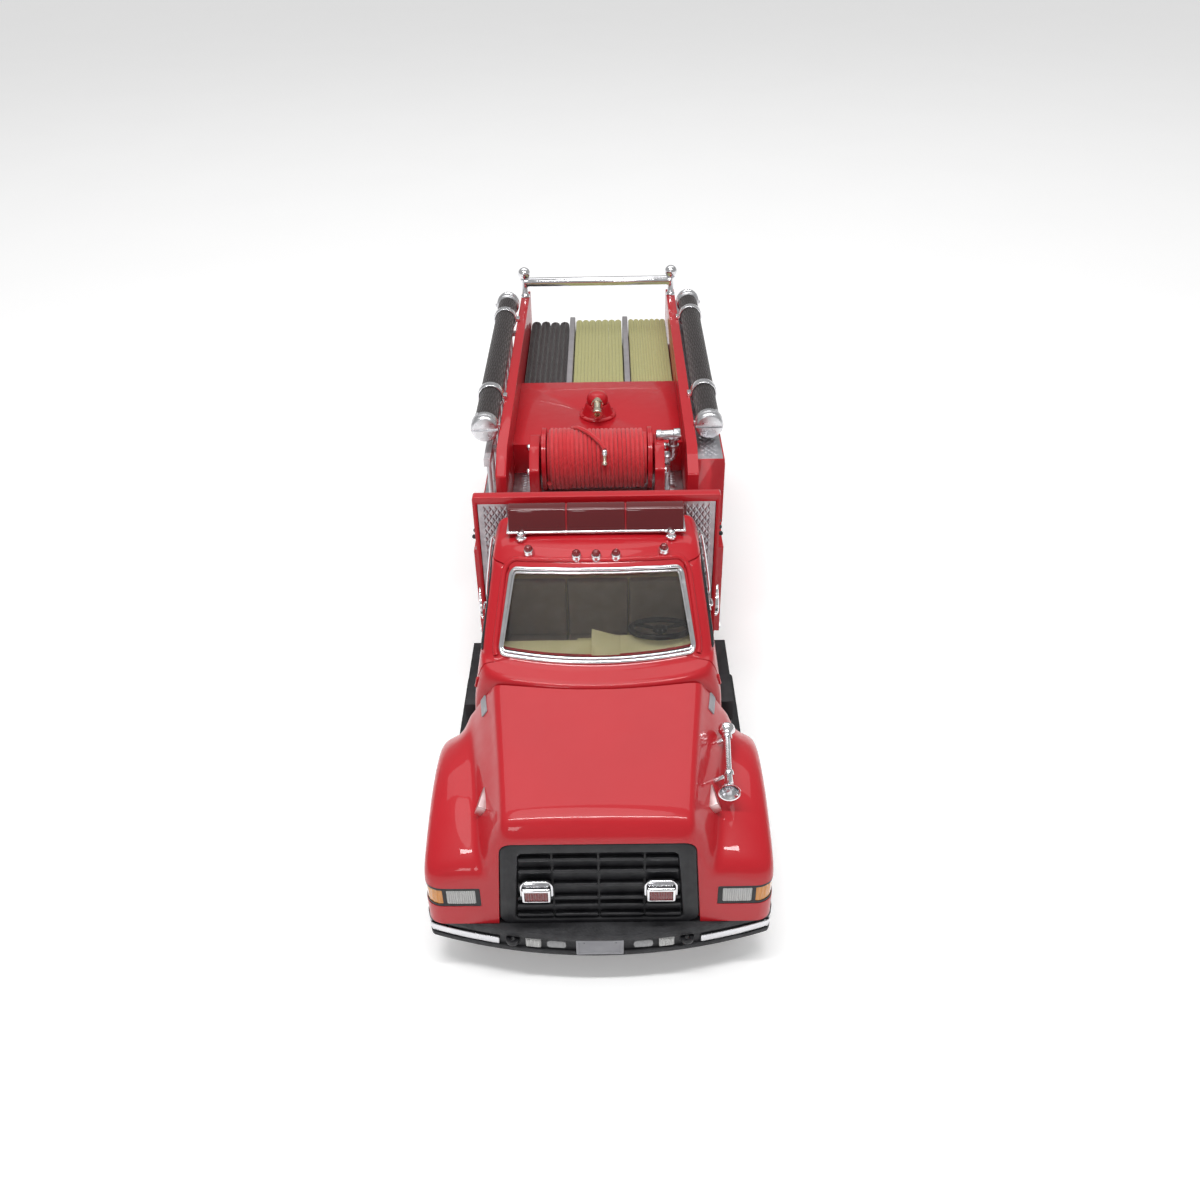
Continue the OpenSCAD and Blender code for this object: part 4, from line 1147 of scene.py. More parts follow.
@dataclass
class Nose:
    """Hood and fenders as one smooth casting, with grille, lamps, vents and horn."""

    fender_x: float = 28.25
    arch_y: float = FRONT_AXLE
    warning_x: float = 9.9
    warning_z: float = 20.2
    arch_z: float = 12.0
    arch_r: float = 14.4
    bow_y: float = -1.6
    bow_r: float = 60.2
    foot_z: float = 11.8
    tail_z: float = 12.0
    low_z: float = 6.2
    lamp_x: float = 19.0
    lamp_z: float = 18.2
    lamp_half: float = 2.15
    lamp_end: float = -84.6
    fins: tuple[float, ...] = (13.6, 15.9, 17.7, 20.8, 24.0, 26.7)

    def section(self, y: float, top: float, shoulder: float, drop: float, valley: Flat, crest: Flat,
                outer: float) -> list[Point]:
        """Ring of points round the nose at one place along it.

        Args:
            y: Place along the model.
            top: Height of the hood's middle.
            shoulder: Half width of the hood's flat top.
            drop: How far the top falls towards its shoulder.
            valley: Where the hood's side meets the fender.
            crest: Top of the fender.
            outer: Half width at the fender's side.

        Returns:
            The closed ring.
        """
        vx, vz = valley
        cx, cz = crest
        half = [
            (0.0, top), (shoulder * 0.55, top - drop * 0.2), (shoulder - 1.3, top - drop * 0.7),
            (shoulder - 0.15, top - drop - 0.35), (shoulder + 0.55, top - drop - 1.8),
            ((shoulder + vx) / 2 + 0.5, (top - drop + vz) / 2 - 0.6), (vx - 0.1, vz + 0.9),
            (vx + 0.7, vz - 0.1), ((vx + cx) / 2 + 0.3, (vz + cz) / 2), (cx, cz),
            (outer - 0.9, cz - 1.0), (outer, cz - 3.0), (outer, (cz + self.tail_z) / 2 - 1.5),
            (outer, self.low_z + 0.8), (outer - 0.6, self.low_z), (outer * 0.5, self.low_z),
        ]
        right = [(x, y, z) for x, z in half]
        left = [(-x, y, z) for x, z in reversed(half[1:])]
        return right + [(0.0, y, self.low_z)] + left

    def skin(self) -> Solid:
        """The closed smooth body of hood and fenders.

        Returns:
            The new mesh.
        """
        stations = [
            (-89.95, 30.9, 13.6, 0.3, (17.0, 22.2), (20.6, 21.9), 25.3),
            (-89.9, 31.4, 14.2, 0.3, (17.4, 23.0), (21.0, 22.8), 26.0),
            (-89.3, 32.6, 14.8, 0.3, (17.9, 24.0), (21.4, 24.0), 27.3),
            (-88.3, 33.9, 15.0, 0.35, (18.3, 25.0), (21.8, 24.8), 28.0),
            (-87.0, 34.4, 15.1, 0.4, (18.6, 25.8), (22.2, 25.4), self.fender_x),
            (-84.0, 34.8, 15.4, 0.5, (19.0, 26.8), (23.0, 26.6), self.fender_x),
            (-79.0, 35.5, 15.9, 0.6, (19.5, 28.0), (24.0, 28.0), self.fender_x),
            (-74.0, 36.2, 16.5, 0.8, (20.1, 28.7), (24.6, 28.8), self.fender_x),
            (-69.0, 36.9, 17.1, 1.0, (20.8, 29.0), (24.9, 28.9), self.fender_x),
            (-64.0, 37.5, 17.7, 1.2, (21.4, 29.2), (24.9, 28.0), self.fender_x),
            (-60.0, 38.1, 18.2, 1.4, (21.9, 29.2), (24.8, 26.0), self.fender_x),
            (-57.0, 38.5, 18.4, 1.6, (22.2, 28.6), (24.8, 23.6), 28.0),
            (-55.0, 38.8, 18.6, 1.8, (22.3, 27.0), (24.8, 20.6), 27.6),
            (-52.0, 39.2, 18.9, 2.0, (22.3, 25.0), (24.8, 17.0), 27.4),
        ]
        return rounded(loft([self.section(*s) for s in stations]), 2)

    def set_in(self, d: float) -> Solid:
        """The nose's skin with its front and sides set in by d.

        Args:
            d: How far the faces are set in.

        Returns:
            The new mesh.
        """
        bm = self.skin()
        bmesh.ops.transform(bm, matrix=shift(y=d) @ Matrix.Diagonal((1 - d / self.fender_x, 1, 1, 1)),
                            verts=bm.verts)
        return bm

    def lamp_room(self, side: int, d: float) -> Solid:
        """Notch for one headlamp unit at a front corner.

        Args:
            side: -1 for the left, 1 for the right.
            d: How far its outline is set in.

        Returns:
            The new mesh.
        """
        x0, x1 = sorted((side * (self.lamp_x + d), side * 32.0))
        low, high = self.lamp_z - self.lamp_half + d, self.lamp_z + self.lamp_half - d
        return cuboid((x0, -95, low), (x1, self.lamp_end - d, high), 0.25)

    def cutters(self) -> list[Solid]:
        """What is cut from the solid nose.

        Returns:
            The cutting meshes.
        """
        grille = Span.of("grille")
        cuts = [
            cuboid((-40, -95, 0), (40, self.arch_y, self.foot_z)),
            cuboid((-40, self.arch_y - 1, 0), (40, -40, self.tail_z)),
            cuboid((-13.4, -87.6, 0), (13.4, -50, 31.6)),
            slab(circle(self.bow_r, 128), 0, 60),
            slab([(-16.7, self.foot_z - 4), (16.7, self.foot_z - 4), (15.3, grille.high.z + 0.05),
                  (-15.3, grille.high.z + 0.05)], -92, grille.high.y + 0.02, Axis.Y, 2.0),
        ]
        bmesh.ops.translate(cuts[3], vec=(0, self.bow_y, 0), verts=cuts[3].verts)
        for side in (-1, 1):
            wheel = rod(self.arch_r, 20, 96)
            bmesh.ops.transform(wheel, matrix=shift(13.6 if side > 0 else -33.6, self.arch_y, self.arch_z)
                                @ Axis.X.turn(), verts=wheel.verts)
            cuts.append(wheel)
            cuts.append(self.lamp_room(side, 0.0))
        return cuts

    def hood(self) -> Surface:
        """Cast hood and fenders.

        Returns:
            The casting's surface, for what is seated on it.
        """
        bm = carve(self.skin(), self.cutters())
        side = Surface(bm.copy())
        Form().add(bm).fit("hood_casting", RED, "red_paint", "hood", smooth_below=40)
        return side

    def grille(self) -> None:
        """Black grille with broken fins in a deep surround."""
        box = Span.of("grille")
        face, low, high = box.low.y, box.low.z + 0.05, box.high.z
        outline = [(-16.35, low), (16.35, low), (15.2, high), (-15.2, high)]
        inner = [(-13.6, low + 1.0), (13.6, low + 1.0), (12.5, high - 2.1), (-12.5, high - 2.1)]
        frame_bm = carve(slab(outline, face, box.high.y, Axis.Y, 2.0),
                         [slab(inner, face - 1, face + 0.85, Axis.Y, 1.0)])
        soften_edges(frame_bm, 0.3, 3, 50.0)
        form = Form().add(frame_bm)
        for z in self.fins:
            half = 13.4 - (z - low) * 0.06
            for x0, x1 in ((-half, -7.45), (-7.15, -0.15), (0.15, 7.15), (7.45, half)):
                form.add(cuboid((x0, face + 0.02, z - 0.34), (x1, face + 0.9, z + 0.34), 0.2))
        form.fit("grille_fins", BLACK, "black_plastic", "grille")

    def grille_lamps(self) -> None:
        """Two warning lamps with bright hoods and dark red lenses."""
        box = Span.of("grille_lamp_housings")
        places = [shift(x, box.high.y, self.warning_z) for x in (-self.warning_x, self.warning_x)]
        body = pocket(cuboid((-2.35, -1.7, -1.65), (2.35, 0.0, 1.4), 0.38, 3), (0, -1, 0), 0.08, 0.35)
        arch = [(-2.65, -1.5), (2.65, -1.5), (2.65, 1.1), (1.9, 2.08), (-1.9, 2.08), (-2.65, 1.1)]
        form = Form().add(body, *places).add(slab(arch, -0.5, 0.0, Axis.Y, 0.4, 0.12), *places)
        form.fit("grille_lamp_hoods", CHROME, "chrome", "grille_lamp_housings")
        lens = Form().add(cuboid((-1.86, -1.56, -1.2), (1.86, -1.2, 0.92), 0.15), *places)
        lens.add(flutes(3.5, 1.9, 9), *[p @ shift(0, -1.54, -0.14) for p in places])
        lens.fit("grille_lamp_glass", RUBY, "red_lens", "grille_lamp_lenses")

    def headlamps(self) -> None:
        """Fluted headlamp lenses in black bezels, and amber corner lenses."""
        bezel, clear, amber = Form(), Form(), Form()
        face = Surface(self.set_in(0.12))
        z, half = self.lamp_z, self.lamp_half - 0.55
        for side in (-1, 1):
            def window(x0: float, x1: float, end: float, d: float) -> Solid:
                """Block the size of a lens opening, set in by d."""
                a, b = sorted((side * (x0 + d), side * (x1 - d)))
                return cuboid((a, -95, z - half + d), (b, end - d, z + half - d), 0.2)

            openings = ((self.lamp_x + 0.8, 24.5, -87.0), (25.1, 32.0, self.lamp_end - 0.6))
            block = carve(self.set_in(0.06), [self.lamp_room(side, 0.03)], "INTERSECT")
            block = carve(block, [window(*openings[0], 0.0)])
            bezel.add(carve(block, [window(*openings[1], 0.0)]))
            for form, opening in zip((clear, amber), openings):
                glass = carve(self.set_in(0.14), [window(*opening, 0.02)], "INTERSECT")
                form.add(carve(glass, [self.set_in(0.9)]))
            for i in range(13):
                x = side * (20.1 + i * 0.34)
                at = face.seat((x, -95, z), (0, 1, 0)).translation
                clear.add(rod(0.16, 2 * half - 0.2, 8), shift(x, at.y + 0.06, z - half + 0.1))
        bezel.fit("headlamp_surrounds", BLACK, "black_plastic", "headlamp_bezels")
        clear.fit("headlamp_glass", CLEAR, "clear_lens", "headlamp_lenses")
        amber.fit("corner_lamp_glass", AMBER, "amber_lens", "marker_lenses")

    def badges(self, side: Surface) -> None:
        """Blank badges on the cowl sides, and the vents beside the hood.

        Args:
            side: The cowl side to seat them on.
        """
        badge = pocket(slab(oblong(2.2, 0.8), -0.15, 0.2, Axis.Z, 0.3, 0.06), (0, 0, 1), 0.2, 0.06)
        places = [side.seat((s * 40, -60.5, 33.2), (-s, 0, 0)) for s in (-1, 1)]
        Form().add(badge, *places).fit("cowl_badges", PLATE_GREY, "silver_paint")
        # The hood vents are silver with a pink tint.
        casting("hood_vents", PINK_SILVER, "silver_paint", 0.14)

    def horn(self) -> None:
        """Air horn with a flared bell, on two saddles on the fender."""
        box = Span.of("air_horn")
        centre, top = box.high.x - 2.2, box.high.z - 2.2
        bell = [(0, 0), (1.1, 0), (1.4, 0.25), (1.45, 0.7), (1.3, 1.1), (0.95, 1.5), (0.62, 2.0), (0.55, 3.2),
                (0.55, 9.4), (0.62, 12.0), (0.8, 13.6), (1.15, 14.6), (1.7, 15.35), (1.82, 15.5), (1.8, 15.6),
                (1.62, 15.56), (1.0, 14.7), (0.6, 13.4), (0.35, 11.4), (0, 11.2)]
        place = shift(centre + 0.2, box.high.y, top) @ spin_by(-3.5, Axis.Z)
        form = Form().add(lathe(bell, 48), place @ spin_by(90, Axis.X))
        ring = [(0.5, -0.45), (0.78, -0.45), (0.86, -0.3), (0.86, 0.3), (0.78, 0.45), (0.5, 0.45)]
        for y in (-11.2, -2.4):
            form.add(lathe(ring, 28), place @ shift(y=y) @ Axis.Y.turn())
            form.add(rod(0.42, 4.2, 14, 0.08), place @ aim((0, y, -0.3), (-3.6, y, -2.6)))
            form.add(rod(0.75, 0.3, 6, 0.05), place @ aim((-2.9, y, -2.25), (-3.6, y, -2.6)))
        form.fit("air_horn_bell", CHROME, "chrome", "air_horn", smooth_below=40)

    def build(self) -> None:
        """Build the nose."""
        side = self.hood()
        self.grille()
        self.grille_lamps()
        self.headlamps()
        self.badges(side)
        self.horn()


@dataclass
class Bumper:
    """Bowed front bumper with bright ends, lamps, a blank plate and tow hooks."""

    centre_y: float = -6.1
    recess_r: float = 86.0
    sunk: float = 0.5
    turn_x: float = 26.6
    turn_back: float = 6.6
    turn_steps: int = 8

    def on_bow(self, x: float) -> Matrix:
        """Place on the bumper's sunk face, square to it."""
        turn = spin_by(math.degrees(math.asin(x / self.recess_r)), Axis.Z)
        return shift(0, self.centre_y, Span.of("bumper_lamps").mid.z) @ turn @ shift(0, -self.recess_r, 0)

    def plan(self) -> Solid:
        """Upright prism that rounds the bumper's ends.

        Returns:
            The new mesh.
        """
        half, bow = Span.of("front_bumper").high.x + 0.02, self.recess_r + self.sunk
        front = [(x, self.centre_y - math.sqrt(bow * bow - x * x) - 0.1)
                 for x in (0.0, 6.0, 12.0, 18.0, self.turn_x)]
        start, back = Vector(front[-1]), Vector((half, front[0][1] + self.turn_back))
        corner = Vector((half, start.y + 0.3))
        parts = [k / self.turn_steps for k in range(1, self.turn_steps + 1)]
        turn = [tuple(start.lerp(corner, t).lerp(corner.lerp(back, t), t)) for t in parts]
        side = front[1:] + turn + [(half, back.y + 8)]
        return slab([front[0], *side, *[(-x, y) for x, y in reversed(side)]], 0, 30)

    def rounded_end(self, node: str, finish: Finish, slot: str, width: float, lip: float = -1.0) -> None:
        """A CAD node with well rounded ends.

        Args:
            node: The CAD node.
            finish: Its finish.
            slot: The record's material slot.
            width: Width of the softened edges.
            lip: Height left free at the top; below 0 for none.
        """
        band = cuboid((-40, -100, 0), (40, 0, Span.of(node).high.z - lip))
        bm = carve(cad_copy(node), [self.plan(), band], "INTERSECT")
        soften_edges(bm, width, 2, 38.0)
        Form().add(bm).fit(node + "_casting", finish, slot, node)

    def lamps(self) -> None:
        """Square clear lamps and oval frosted lamps."""
        square = Form().add(cuboid((-1.3, -0.35, -1.05), (1.3, 0.3, 1.05), 0.2))
        square.add(flutes(2.2, 1.7, 7), shift(0, -0.34))
        form = Form().add(square.bm, self.on_bow(10.9), self.on_bow(-10.9))
        form.fit("bumper_square_lamps", CLEAR, "clear_lens", "bumper_lamps")
        oval = slab(oblong(1.6, 0.85), -0.3, 0.3, Axis.Y, 0.6, 0.14)
        form = Form().add(oval, self.on_bow(7.1), self.on_bow(-7.1))
        form.fit("bumper_oval_lamps", FROSTED, "clear_lens")

    def plate(self) -> None:
        """Blank plate with a raised border and two bolts."""
        box = Span.of("number_plate")
        plate = pocket(cuboid(box.low, (box.high.x, box.high.y, box.high.z), 0.15), (0, -1, 0), 0.3, 0.1)
        bolt = rod(0.22, 0.16, 6, 0.04)
        form = Form().add(plate).add(bolt, *[aim((x, box.low.y + 0.14, box.high.z - 0.75),
                                                 (x, -99, box.high.z - 0.75)) for x in (-2.6, 2.6)])
        form.fit("blank_plate", PLATE_GREY, "silver_paint", "number_plate")

    def build(self) -> None:
        """Build the bumper."""
        self.rounded_end("front_bumper", STIPPLE, "black_plastic", 0.25)
        self.rounded_end("bumper_trim", BRIGHT_SILVER, "chrome", 0.12, 0.8)
        casting("tow_hooks", BLACK, "black_plastic", 0.15)
        self.lamps()
        self.plate()


# ---------------------------------------------------------------- cab


@dataclass
class Cab:
    """Cab casting with its windows, bead, lip, door fittings, interior and roof lamps."""

    bow_y: float = -1.6
    back_y: float = -28.5
    wall: float = 1.2
    bead_step: float = 1.1
    lamp_bow: float = 41.2
    lamp_z: float = 52.44
    lamp_tilt: float = 17.0
    #: height, half width, radius of the bow, front corner, set-in of the back
    levels: tuple[tuple[float, float, float, float, float], ...] = (
        (19.6, 21.9, 60.0, 0.8, 0.0), (19.9, 22.1, 60.0, 0.8, 0.0), (30.0, 22.3, 60.0, 1.0, 0.0),
        (33.5, 21.75, 60.0, 1.8, 0.0), (36.0, 21.3, 60.0, 3.0, 0.0), (37.5, 21.0, 59.95, 4.2, 0.0),
        (38.15, 20.85, 59.3, 4.4, 0.0), (38.4, 20.8, 57.0, 3.4, 0.0), (38.7, 20.7, 55.6, 2.2, 0.0),
        (39.4, 20.6, 54.7, 1.6, 0.0), (44.6, 19.75, 49.4, 1.5, 0.0), (49.8, 18.9, 44.2, 1.5, 0.0),
        (50.9, 18.7, 43.1, 1.6, 0.0), (52.2, 18.3, 41.5, 2.0, 0.2), (53.0, 17.5, 39.4, 2.6, 0.8),
        (53.4, 15.6, 36.6, 3.0, 2.2), (53.5, 12.0, 33.5, 3.0, 4.0),
    )

    def ring(self, z: float, half: float, bow: float, corner: float, rear: float, d: float) -> list[Point]:
        """Plan ring of the cab at one height.

        Args:
            z: Height.
            half: Half width.
            bow: Radius of the bowed front.
            corner: Size of the front corners.
            rear: How far the back is set in.
            d: How far everything is set in.

        Returns:
            The closed ring.
        """
        w, r, back, k = half - d, bow - d, self.back_y - rear - d, 1.4

        def front(x: float) -> float:
            """Y of the bowed front at one x."""
            return self.bow_y - math.sqrt(r * r - x * x)

        start = front(w) + corner
        end = back - k
        side = [
            (0.0, front(0.0)), ((w - corner) * 0.35, front((w - corner) * 0.35)),
            ((w - corner) * 0.7, front((w - corner) * 0.7)), (w - corner, front(w - corner)),
            (w - corner * 0.29, front(w - corner * 0.29) + corner * 0.29), (w, start),
            *[(w, start + (end - start) * t) for t in (0.25, 0.5, 0.75)],
            (w, end), (w - k * 0.29, back - k * 0.29), (w - k, back), (w * 0.5, back), (0.0, back),
        ]
        return [(x, y, z) for x, y in side] + [(-x, y, z) for x, y in reversed(side[1:-1])]

    def solid(self, d: float = 0.0, smooth: int = 2) -> Solid:
        """The cab's outer form, set in by d all round.

        Args:
            d: How far it is set in.
            smooth: Levels of smoothing.

        Returns:
            The new mesh.
        """
        rings = []
        for z, half, bow, corner, rear in self.levels:
            lift = d if z > 50.0 else d * 0.75 if z > 38.0 else 0.0
            rings.append(self.ring(z - lift, half, bow, corner, rear, d))
        return rounded(loft(rings), smooth)

    def screen(self, d: float) -> Solid:
        """Prism through the windscreen, with its outline set in by d.

        Args:
            d: How far it is set in.

        Returns:
            The new mesh.
        """
        outline = [(-17.2 + d, 39.35 + d), (17.2 - d, 39.35 + d), (15.1 - d, 50.1 - d), (8.0, 50.65 - d),
                   (0.0, 50.85 - d), (-8.0, 50.65 - d), (-15.1 + d, 50.1 - d)]
        return slab(outline, -64, -40.5, Axis.Y, max(0.3, 1.0 - d))

    def door_window(self, d: float) -> Solid:
        """Prism through both door windows, with its outline set in by d.

        Args:
            d: How far it is set in.

        Returns:
            The new mesh.
        """
        outline = [(-52.0 + d, 38.6 + d), (-32.6 - d, 38.6 + d), (-33.0 - d, 49.3 - d),
                   (-40.6 + d * 0.4, 49.3 - d)]
        return slab(outline, -30, 30, Axis.X, max(0.3, 1.0 - d))

    def rear_window(self, d: float) -> Solid:
        """Prism through the rear window, with its outline set in by d."""
        outline = [(-11 + d, 41 + d), (11 - d, 41 + d), (11 - d, 49.2 - d), (-11 + d, 49.2 - d)]
        return slab(outline, -33, -24, Axis.Y, max(0.3, 1.0 - d))

    def windows(self, d: float = 0.0) -> list[Solid]:
        """All window prisms."""
        return [self.screen(d), self.door_window(d), self.rear_window(d)]

    def door_groove(self) -> Solid:
        """Thin groove round both doors.

        Returns:
            The new mesh.
        """
        def outline(d: float) -> list[Flat]:
            """The doors' outline, set in by d."""
            return [(-55.2 + d, 21.4 + d), (-31.2 - d, 21.4 + d), (-31.2 - d, 50.6 - d),
                    (-42.0 + d, 50.6 - d), (-55.2 + d, 38.4)]
        ring = carve(slab(outline(0.0), -30, 30, Axis.X, 1.0), [slab(outline(0.28), -31, 31, Axis.X, 0.8)])
        return carve(ring, [self.solid(0.25)])

    def shell(self) -> None:
        """Cast the cab."""
        floor = cuboid((-20.2, -56.5, 15), (20.2, -30.2, 24))
        cuts = [self.solid(self.wall), floor, *self.windows(), self.door_groove()]
        form = Form().add(carve(self.solid(), cuts))
        form.fit("cab_casting", RED, "red_paint", "cab_shell", smooth_below=40)

    def glass(self) -> None:
        """Fit the smoked glazing."""
        form = Form()
        for prism in self.windows(0.02):
            pane = carve(self.solid(0.3), [self.solid(0.8)])
            form.add(carve(pane, [prism], "INTERSECT"))
        form.fit("smoked_glazing", SMOKED, "smoked_clear", "cab_glazing", smooth_below=40)

    def seam(self, prism: Solid, start: Callable[[Vector], Point], way: Point, radius: float,
             above: float = 0.0) -> Solid:
        """Bead that runs round a window's edge on the cab's surface.

        Args:
            prism: The window's prism; it is used up.
            start: Where the line through an outline's point starts.
            way: Direction of the line.
            radius: Radius of the bead.
            above: Height that an open bead stays above; 0 for a bead that closes.

        Returns:
            The new mesh.
        """
        front = Surface(self.solid())
        prism.normal_update()
        cap = max(prism.faces, key=lambda f: abs(f.normal.dot(Vector(way))) * f.calc_area())
        corners = [v.co.copy() for v in cap.verts]
        prism.free()
        route = []
        for a, b in zip(corners, corners[1:] + corners[:1]):
            parts = max(1, round((b - a).length / self.bead_step))
            route += [front.seat(start(a.lerp(b, k / parts)), way).translation for k in range(parts)]
        if above:
            rise = next(k for k, p in enumerate(route) if route[k - 1].z < above <= p.z)
            route = [p for p in route[rise:] + route[:rise] if p.z >= above]
        return hose(route, radius, 12, not above)

    def mouldings(self) -> None:
        """Bright windscreen bead and dark gaskets."""
        ahead = (0.0, 1.0, 0.0)
        bead = Form().add(self.seam(self.screen(-0.05), lambda p: (p.x, -80.0, p.z), ahead, 0.4))
        bead.add(self.seam(self.screen(0.42), lambda p: (p.x, -80.0, p.z), ahead, 0.22))
        bead.fit("windscreen_bead", CHROME, "chrome", "windscreen_trim", smooth_below=60)
        lip = self.seam(self.screen(-1.15), lambda p: (p.x, -80.0, p.z), ahead, 0.5, 39.0)
        Form().add(lip).fit("windscreen_lip", RED, "red_paint", smooth_below=60)
        form = Form()
        for side in (-1, 1):
            form.add(self.seam(self.door_window(0.0), lambda p: (side * 40.0, p.y, p.z), (-side, 0.0, 0.0),
                               0.22))
        form.add(self.seam(self.rear_window(0.0), lambda p: (p.x, 0.0, p.z), (0.0, -1.0, 0.0), 0.22))
        form.fit("window_gaskets", BLACK, "black_plastic", smooth_below=60)

    def fittings(self) -> None:
        """Door handles, hinges, grab rails and blank door plates."""
        side = Surface(self.solid())
        handles = Form()
        plate = pocket(slab(oblong(1.6, 0.75), -0.1, 0.2, Axis.Z, 0.3, 0.06), (0, 0, 1), 0.22, 0.1)
        lever = hose(smooth_path([(-1.0, 0.1, 0.1), (-0.9, 0.1, 0.5), (0.2, 0.1, 0.62), (1.2, 0.1, 0.5)], 5),
                     0.17, 8)
        grip = Form().add(plate).add(lever).bm
        handles.add(grip, *[side.seat((s * 40, -33.6, 35.4), (-s, 0, 0)) for s in (-1, 1)])
        rail = hose(smooth_path([(0, -6.2, 0), (0, -6.0, 0.75), (0, 6.0, 0.75), (0, 6.2, 0)], 6), 0.24, 8)
        handles.add(rail, *[side.seat((s * 40, -29.9, 42.0), (-s, 0, 0)) for s in (-1, 1)])
        handles.fit("door_handles", CHROME, "chrome")
        hinges = Form()
        knuckle = Form().add(rod(0.26, 2.0, 12, 0.05), spin_by(90, Axis.X) @ shift(z=-1.0)).bm
        hinges.add(knuckle, *[side.seat((s * 40, -55.35, z), (-s, 0, 0)) @ shift(z=0.08)
                              for s in (-1, 1) for z in (25.0, 34.4)])
        hinges.fit("door_hinges", RED, "red_paint")

    def interior(self) -> None:
        """Seats, dashboard and wheel seen through the glass."""
        def dash(form: Form) -> None:
            """Add the dashboard, carved to the inside of the cab."""
            room = self.solid(1.0)
            for top in (cuboid((-19.6, -58.0, 36.2), (-0.9, -49.2, 38.9), 0.3),
                        cuboid((0.0, -58.0, 36.2), (19.6, -48.4, 39.3), 0.3),
                        slab([(-1.0, 36.2), (4.4, 36.2), (4.4, 39.2), (-1.0, 41.0)], -58.0, -48.8, Axis.Y,
                             0.2, 0.15)):
                form.add(carve(top, [room.copy()], "INTERSECT"))
            room.free()
        casting("cab_interior", TAN, "tan_plastic", 0.4, extra=dash)
        form = Form()
        for x in (-11.7, 0.0, 11.7):
            cushion = pocket(cuboid((-5.75, -41.6, 26.8), (5.75, -34.2, 29.2), 0.5, 3), (0, 0, 1), 0.7, 0.12,
                             0.4)
            back = pocket(cuboid((-5.75, -35.4, 29.4), (5.75, -33.6, 42.0), 0.5, 3), (0, -1, 0), 0.8, 0.12,
                          0.4)
            form.add(cushion, shift(x)).add(back, shift(x))
        lining = cuboid((-19.2, -30.4, 24.0), (19.2, -29.95, 49.6), 0.1)
        form.add(carve(lining, [self.rear_window(-0.4)]))
        form.fit("seats_and_lining", LINING, "grey_plastic")
        rim = lathe([(5.3 + x, y) for x, y in circle(0.55, 12)], 56)
        form = Form().add(rim).add(lathe([(0, -0.6), (1.3, -0.5), (1.3, 0.2), (0.9, 0.45), (0, 0.5)], 24))
        form.add(cuboid((-0.35, 0.5, -0.3), (0.35, 5.3, 0.15), 0.1),
                 *[spin_by(a, Axis.Z) for a in (60, 180, 300)])
        form.add(rod(0.5, 5.5, 12), spin_by(180, Axis.X))
        wheel = Form().add(form.bm, shift(11.3, -46.6, 39.2) @ spin_by(-19, Axis.X))
        wheel.fit("steering_wheel_rim", BLACK, "black_plastic", "steering_wheel")

    def roof_lamps(self) -> None:
        """Five marker lamps across the brow."""
        base = lathe([(0, -0.4), (1.05, -0.4), (1.05, 0.02), (0.98, 0.2), (0.86, 0.5), (0.8, 0.82),
                      (0.66, 0.9), (0, 0.9)], 32)
        dome = lathe([(0, 0.5), (0.72, 0.5), (0.76, 0.85), (0.7, 1.15), (0.5, 1.42), (0.25, 1.54), (0, 1.57)],
                     32)
        places = []
        for x in (-12.0, -3.5, 0.0, 3.5, 12.0):
            y = self.bow_y - math.sqrt(self.lamp_bow ** 2 - x * x)
            lean = spin_by(self.lamp_tilt, Axis.X)
            turn = spin_by(math.degrees(math.asin(x / self.lamp_bow)), Axis.Z) @ lean
            places.append(shift(x, y, self.lamp_z) @ turn)
        Form().add(base, *places).fit("roof_lamp_cups", CHROME, "chrome", "roof_lamp_bases", smooth_below=50)
        Form().add(dome, *places).fit("roof_lamp_glass", RUBY, "red_lens", "roof_lamp_domes", smooth_below=60)

    def build(self) -> None:
        """Build the cab."""
        self.shell()
        self.glass()
        self.mouldings()
        self.fittings()
        self.interior()
        self.roof_lamps()


